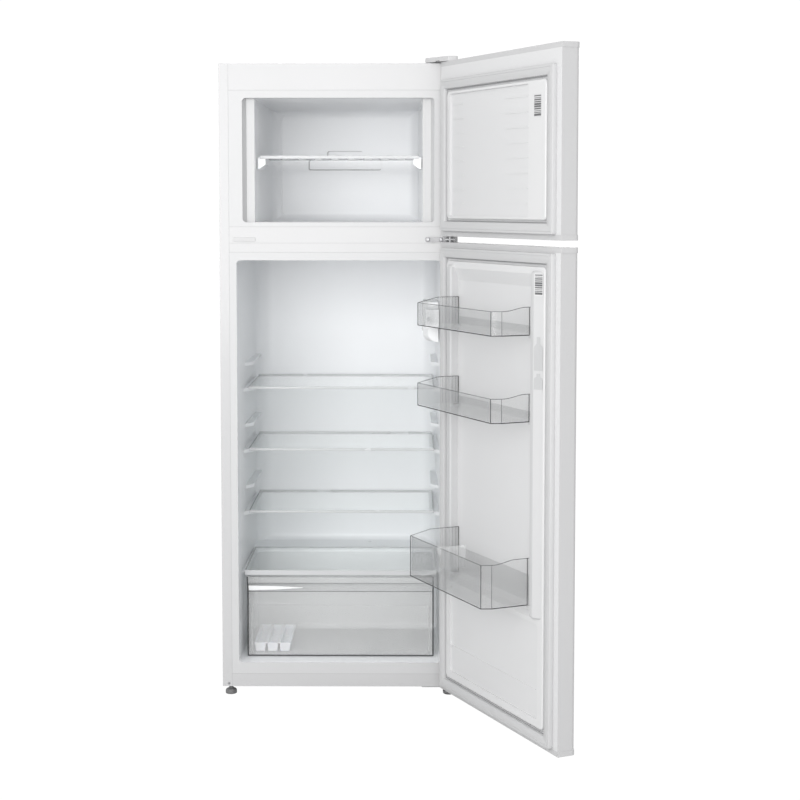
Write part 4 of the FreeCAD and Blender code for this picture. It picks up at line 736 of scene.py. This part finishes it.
def seams():
    """Fine joint lines on the cabinet's front, where its flanges, bands and liners meet."""
    low, high = box_of("side_panel_left")
    beam_low, beam_high = box_of("middle_beam")
    edge, face = low.x + FLANGE_WIDTH, low.y + SEAM_SINK
    levels = (SILL_HEIGHT, beam_low.z, beam_low.z + BEAM_FOLD, beam_high.z, BAND_FOOT)
    paths = [[(x, face, low.z), (x, face, high.z)] for x in (edge, -edge)]
    paths += [[(edge, face, level), (-edge, face, level)] for level in levels]
    beading("front_seams", paths, 0.3, "cabinet", "body_paint", "faint_seam")


def freezer_back_relief():
    """The rounded border and the two air guide rings moulded in the freezer's back wall; the rings take a darker
    copy of the liner, painted shade.
    """
    wall = box_of("freezer_liner")[1].y - BACK_RELIEF

    def ring(low, high, radius):
        loop = rounded_loop([value * MM for value in low], [value * MM for value in high], radius * MM)
        return [(across, wall, up) for across, up in loop + loop[:1]]

    beading("freezer_back_border", [ring(*BACK_BORDER)], 1.6, "cabinet", "liner")
    guides = [ring(*guide) for guide in AIR_GUIDES]
    beading("freezer_air_guides", guides, 1.5, "cabinet", "liner", "liner_painted_shade")


def hinge_cover_slot_shade():
    """A dark bead at the foot of the slanted side of the top hinge's hood: painted shade in its slot."""
    low = box_of("top_hinge_cover")[0]
    start = Vector((low.x, low.y + HOOD_SLANT_DEPTH, low.z + HOOD_SLOT_HEIGHT))
    end = Vector((low.x + HOOD_SLANT_WIDTH, low.y, low.z + HOOD_SLOT_HEIGHT))
    path = [start.lerp(end, share) for share in HOOD_SLOT]
    beading("hinge_cover_slot_shade", [path], 0.8, "cabinet", "cap_plastic", "black_plastic")


def threaded_foot(node):
    """A levelling foot: a domed disc with a rounded rim under a threaded stem."""
    low, high = box_of(node)
    centre = Vector(((low.x + high.x) / 2, (low.y + high.y) / 2, low.z))
    top = (high.z - low.z) / MM
    profile = list(FOOT_PROFILE)
    for turn in range(int(top - THREAD_START)):
        profile += [(THREAD_ROOT, THREAD_START + turn), (THREAD_CREST, THREAD_START + 0.5 + turn)]
    profile.append((0, top))
    bm = bmesh.new()
    add_lathe(bm, [(radius * MM, height * MM) for radius, height in profile], centre)
    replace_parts(piece(f"{node}_turned", bm, BODY_OF[node], SLOTS[node], sharp=40), node)


def sill_screw():
    """The small screw at the left end of the sill."""
    front = box_of("side_panel_left")[0].y
    profile = [(radius * MM, height * MM) for radius, height in SILL_SCREW_PROFILE]
    bm = bmesh.new()
    add_lathe(bm, profile, (SILL_SCREW_X, front, SILL_SCREW_Z), "-y")
    piece("sill_screw", bm, "cabinet", "screw_steel")


# ---- shelves and drawer -------------------------------------------------------------------------

# The drawer's front from its foot up: the wall, a ledge back to the upright under the handle, the slanted
# finger grip and the lip. Depths are behind the lip's front, and heights are over the drawer's foot.
DRAWER_WALL, DRAWER_UPRIGHT, DRAWER_GRIP_TOP = 11 * MM, 13.5 * MM, 8 * MM
LEDGE_FRONT, LEDGE_REAR, GRIP_FOOT, GRIP_HEAD, LIP_FOOT = 119 * MM, 121 * MM, 152 * MM, 168 * MM, 174 * MM
DRAWER_EDGE_INSET = 0.8 * MM

# Pale uprights, a painted highlight where the drawer's front wall bends into its sides: inset from the side,
# depth behind the wall, height of the foot over the floor's edge and of the head over the drawer's foot.
BEND_INSET, BEND_DEPTH, BEND_FOOT, BEND_HEAD = 9 * MM, 5 * MM, 4 * MM, 117 * MM

# the painted highlight on the finger grip, in millimetres along the drawer and up the slant
GRIP_HIGHLIGHT = [(0, 2), (60, 4), (126, 9), (126, 10), (60, 14), (0, 15)]
GRIP_HIGHLIGHT_INSET, GRIP_HIGHLIGHT_THICK = 3 * MM, 0.4 * MM
# depth and height of the foot and crest of the slant that the highlight lies on, in millimetres
GRIP_SLANT = ((13.6, 153), (7.6, 168))

# a shelf glass's dark edges, painted shade: their widths, and how far they stay within its ends and its two faces
GLASS_EDGE_LEFT, GLASS_EDGE_RIGHT = 0.9 * MM, 0.3 * MM
GLASS_EDGE_ENDS, GLASS_EDGE_SKIN, GLASS_EDGE_BEVEL = 5 * MM, 0.2 * MM, 0.1 * MM


def drawer_edges():
    """The crisper drawer's polished edges as dark beads, painted shade: its sides, its foot and the bends of its
    handle; and pale beads where its front wall bends into its sides, a painted highlight.
    """
    low, high = box_of("crisper_drawer")
    left, right = low.x + DRAWER_EDGE_INSET, high.x - DRAWER_EDGE_INSET
    floor, top = low.z + DRAWER_EDGE_INSET, high.z - DRAWER_EDGE_INSET
    wall, upright, lip = low.y + DRAWER_WALL, low.y + DRAWER_UPRIGHT, low.y + DRAWER_EDGE_INSET
    outline = [(wall, floor), (wall, low.z + LEDGE_FRONT), (upright, low.z + LEDGE_REAR),
               (upright, low.z + GRIP_FOOT), (low.y + DRAWER_GRIP_TOP, low.z + GRIP_HEAD),
               (lip, low.z + LIP_FOOT), (lip, top)]
    sides = [[(x, y, z) for y, z in outline] for x in (left, right)]
    foot = [[(left, wall, floor), (right, wall, floor)]]
    bends = [[(left, y, z), (right, y, z)] for y, z in
             ((lip, top), (lip, low.z + LIP_FOOT), (upright, low.z + GRIP_FOOT))]
    for word, paths, radius in (("foot", foot, 1.5), ("sides", sides, 1.6), ("bends", bends, 0.45)):
        beading(f"drawer_{word}", paths, radius, BODY_OF["crisper_drawer"], "clear_plastic", "edge_painted_shade")
    # pale beads at the front wall's bends: a painted highlight
    corners = [[(x, wall + BEND_DEPTH, floor + BEND_FOOT), (x, wall + BEND_DEPTH, low.z + BEND_HEAD)]
               for x in (left + BEND_INSET, right - BEND_INSET)]
    beading("drawer_bend_highlights", corners, 2.4, BODY_OF["crisper_drawer"], "clear_plastic")


def drawer_grip_highlight():
    """A painted highlight on the drawer's slanted finger grip, wide at the left and running out to the right."""
    low = box_of("crisper_drawer")[0]
    foot, crest = [low + Vector((GRIP_HIGHLIGHT_INSET, y * MM, z * MM)) for y, z in GRIP_SLANT]
    outline = [(x * MM, z * MM) for x, z in GRIP_HIGHLIGHT]
    bm = bmesh.new()
    add_card(bm, foot, Vector((1, 0, 0)), (crest - foot).normalized(), outline, GRIP_HIGHLIGHT_THICK)
    piece("grip_highlight_card", bm, BODY_OF["crisper_drawer"], "clear_plastic", finish="painted_grip_highlight")


def glass_edges(node):
    """Dark strips at the polished edge of a glass shelf, seen at its two ends: painted shade."""
    low, high = box_of(node)
    bm = bmesh.new()
    for x, wide in ((low.x, GLASS_EDGE_LEFT), (high.x + GLASS_EDGE_RIGHT, GLASS_EDGE_RIGHT)):
        add_box(bm, (x - wide, low.y + GLASS_EDGE_ENDS, low.z + GLASS_EDGE_SKIN),
                (x, high.y - GLASS_EDGE_ENDS, high.z - GLASS_EDGE_SKIN))
    bmesh.ops.bevel(bm, geom=bm.edges[:], offset=GLASS_EDGE_BEVEL, segments=2, affect="EDGES")
    piece(f"{node}_edges", bm, BODY_OF[node], "shelf_glass", finish="glass_end_painted_shade")


# ---- the whole ----------------------------------------------------------------------------------

SHELVES = ("shelf_upper", "shelf_middle", "shelf_lower")

# node: radius of its edges in millimetres
SOFTENED = {
    "top_panel": 0.25,
    "hinge_hole_cover": 0.5,
    "top_hinge": 0.4,
    "top_hinge_cover": 0.6,
    "middle_hinge": 0.4,
    "bottom_hinge": 0.4,
    "lamp_housing": 1.0,
    "relay_box": 1.2,
    "cord_gland": 0.5,
    **{node: 0.6 for node in SHELVES},
    **{f"{node}_trim": 0.8 for node in SHELVES},
    "crisper_cover": 0.6,
    "crisper_cover_trim": 0.8,
    "crisper_drawer": 0.6,
    "ice_tray": 0.4,
    "freezer_shelf": 0.5,
    "freezer_door_caps": 0.8,
    "fridge_door_caps": 0.8,
    "door_bin_upper": 0.6,
    "door_bin_middle": 0.6,
    "bottle_bin": 0.6,
    "bottle_divider": 0.5,
}


def main():
    make_camera()
    make_studio()
    paint_frame()
    for node, width in SOFTENED.items():
        item = soften(node, width)
        if node in BINS:
            shade_bin_front(item, node)
    gasket("freezer")
    gasket("fridge")
    cross_head_screws()
    seams()
    door_labels()
    for node in BINS:
        bin_edges(node)
    drawer_edges()
    drawer_grip_highlight()
    freezer_back_relief()
    hinge_cover_slot_shade()
    threaded_foot("front_foot_left")
    threaded_foot("front_foot_right")
    sill_screw()
    for node in SHELVES:
        glass_edges(node)


main()
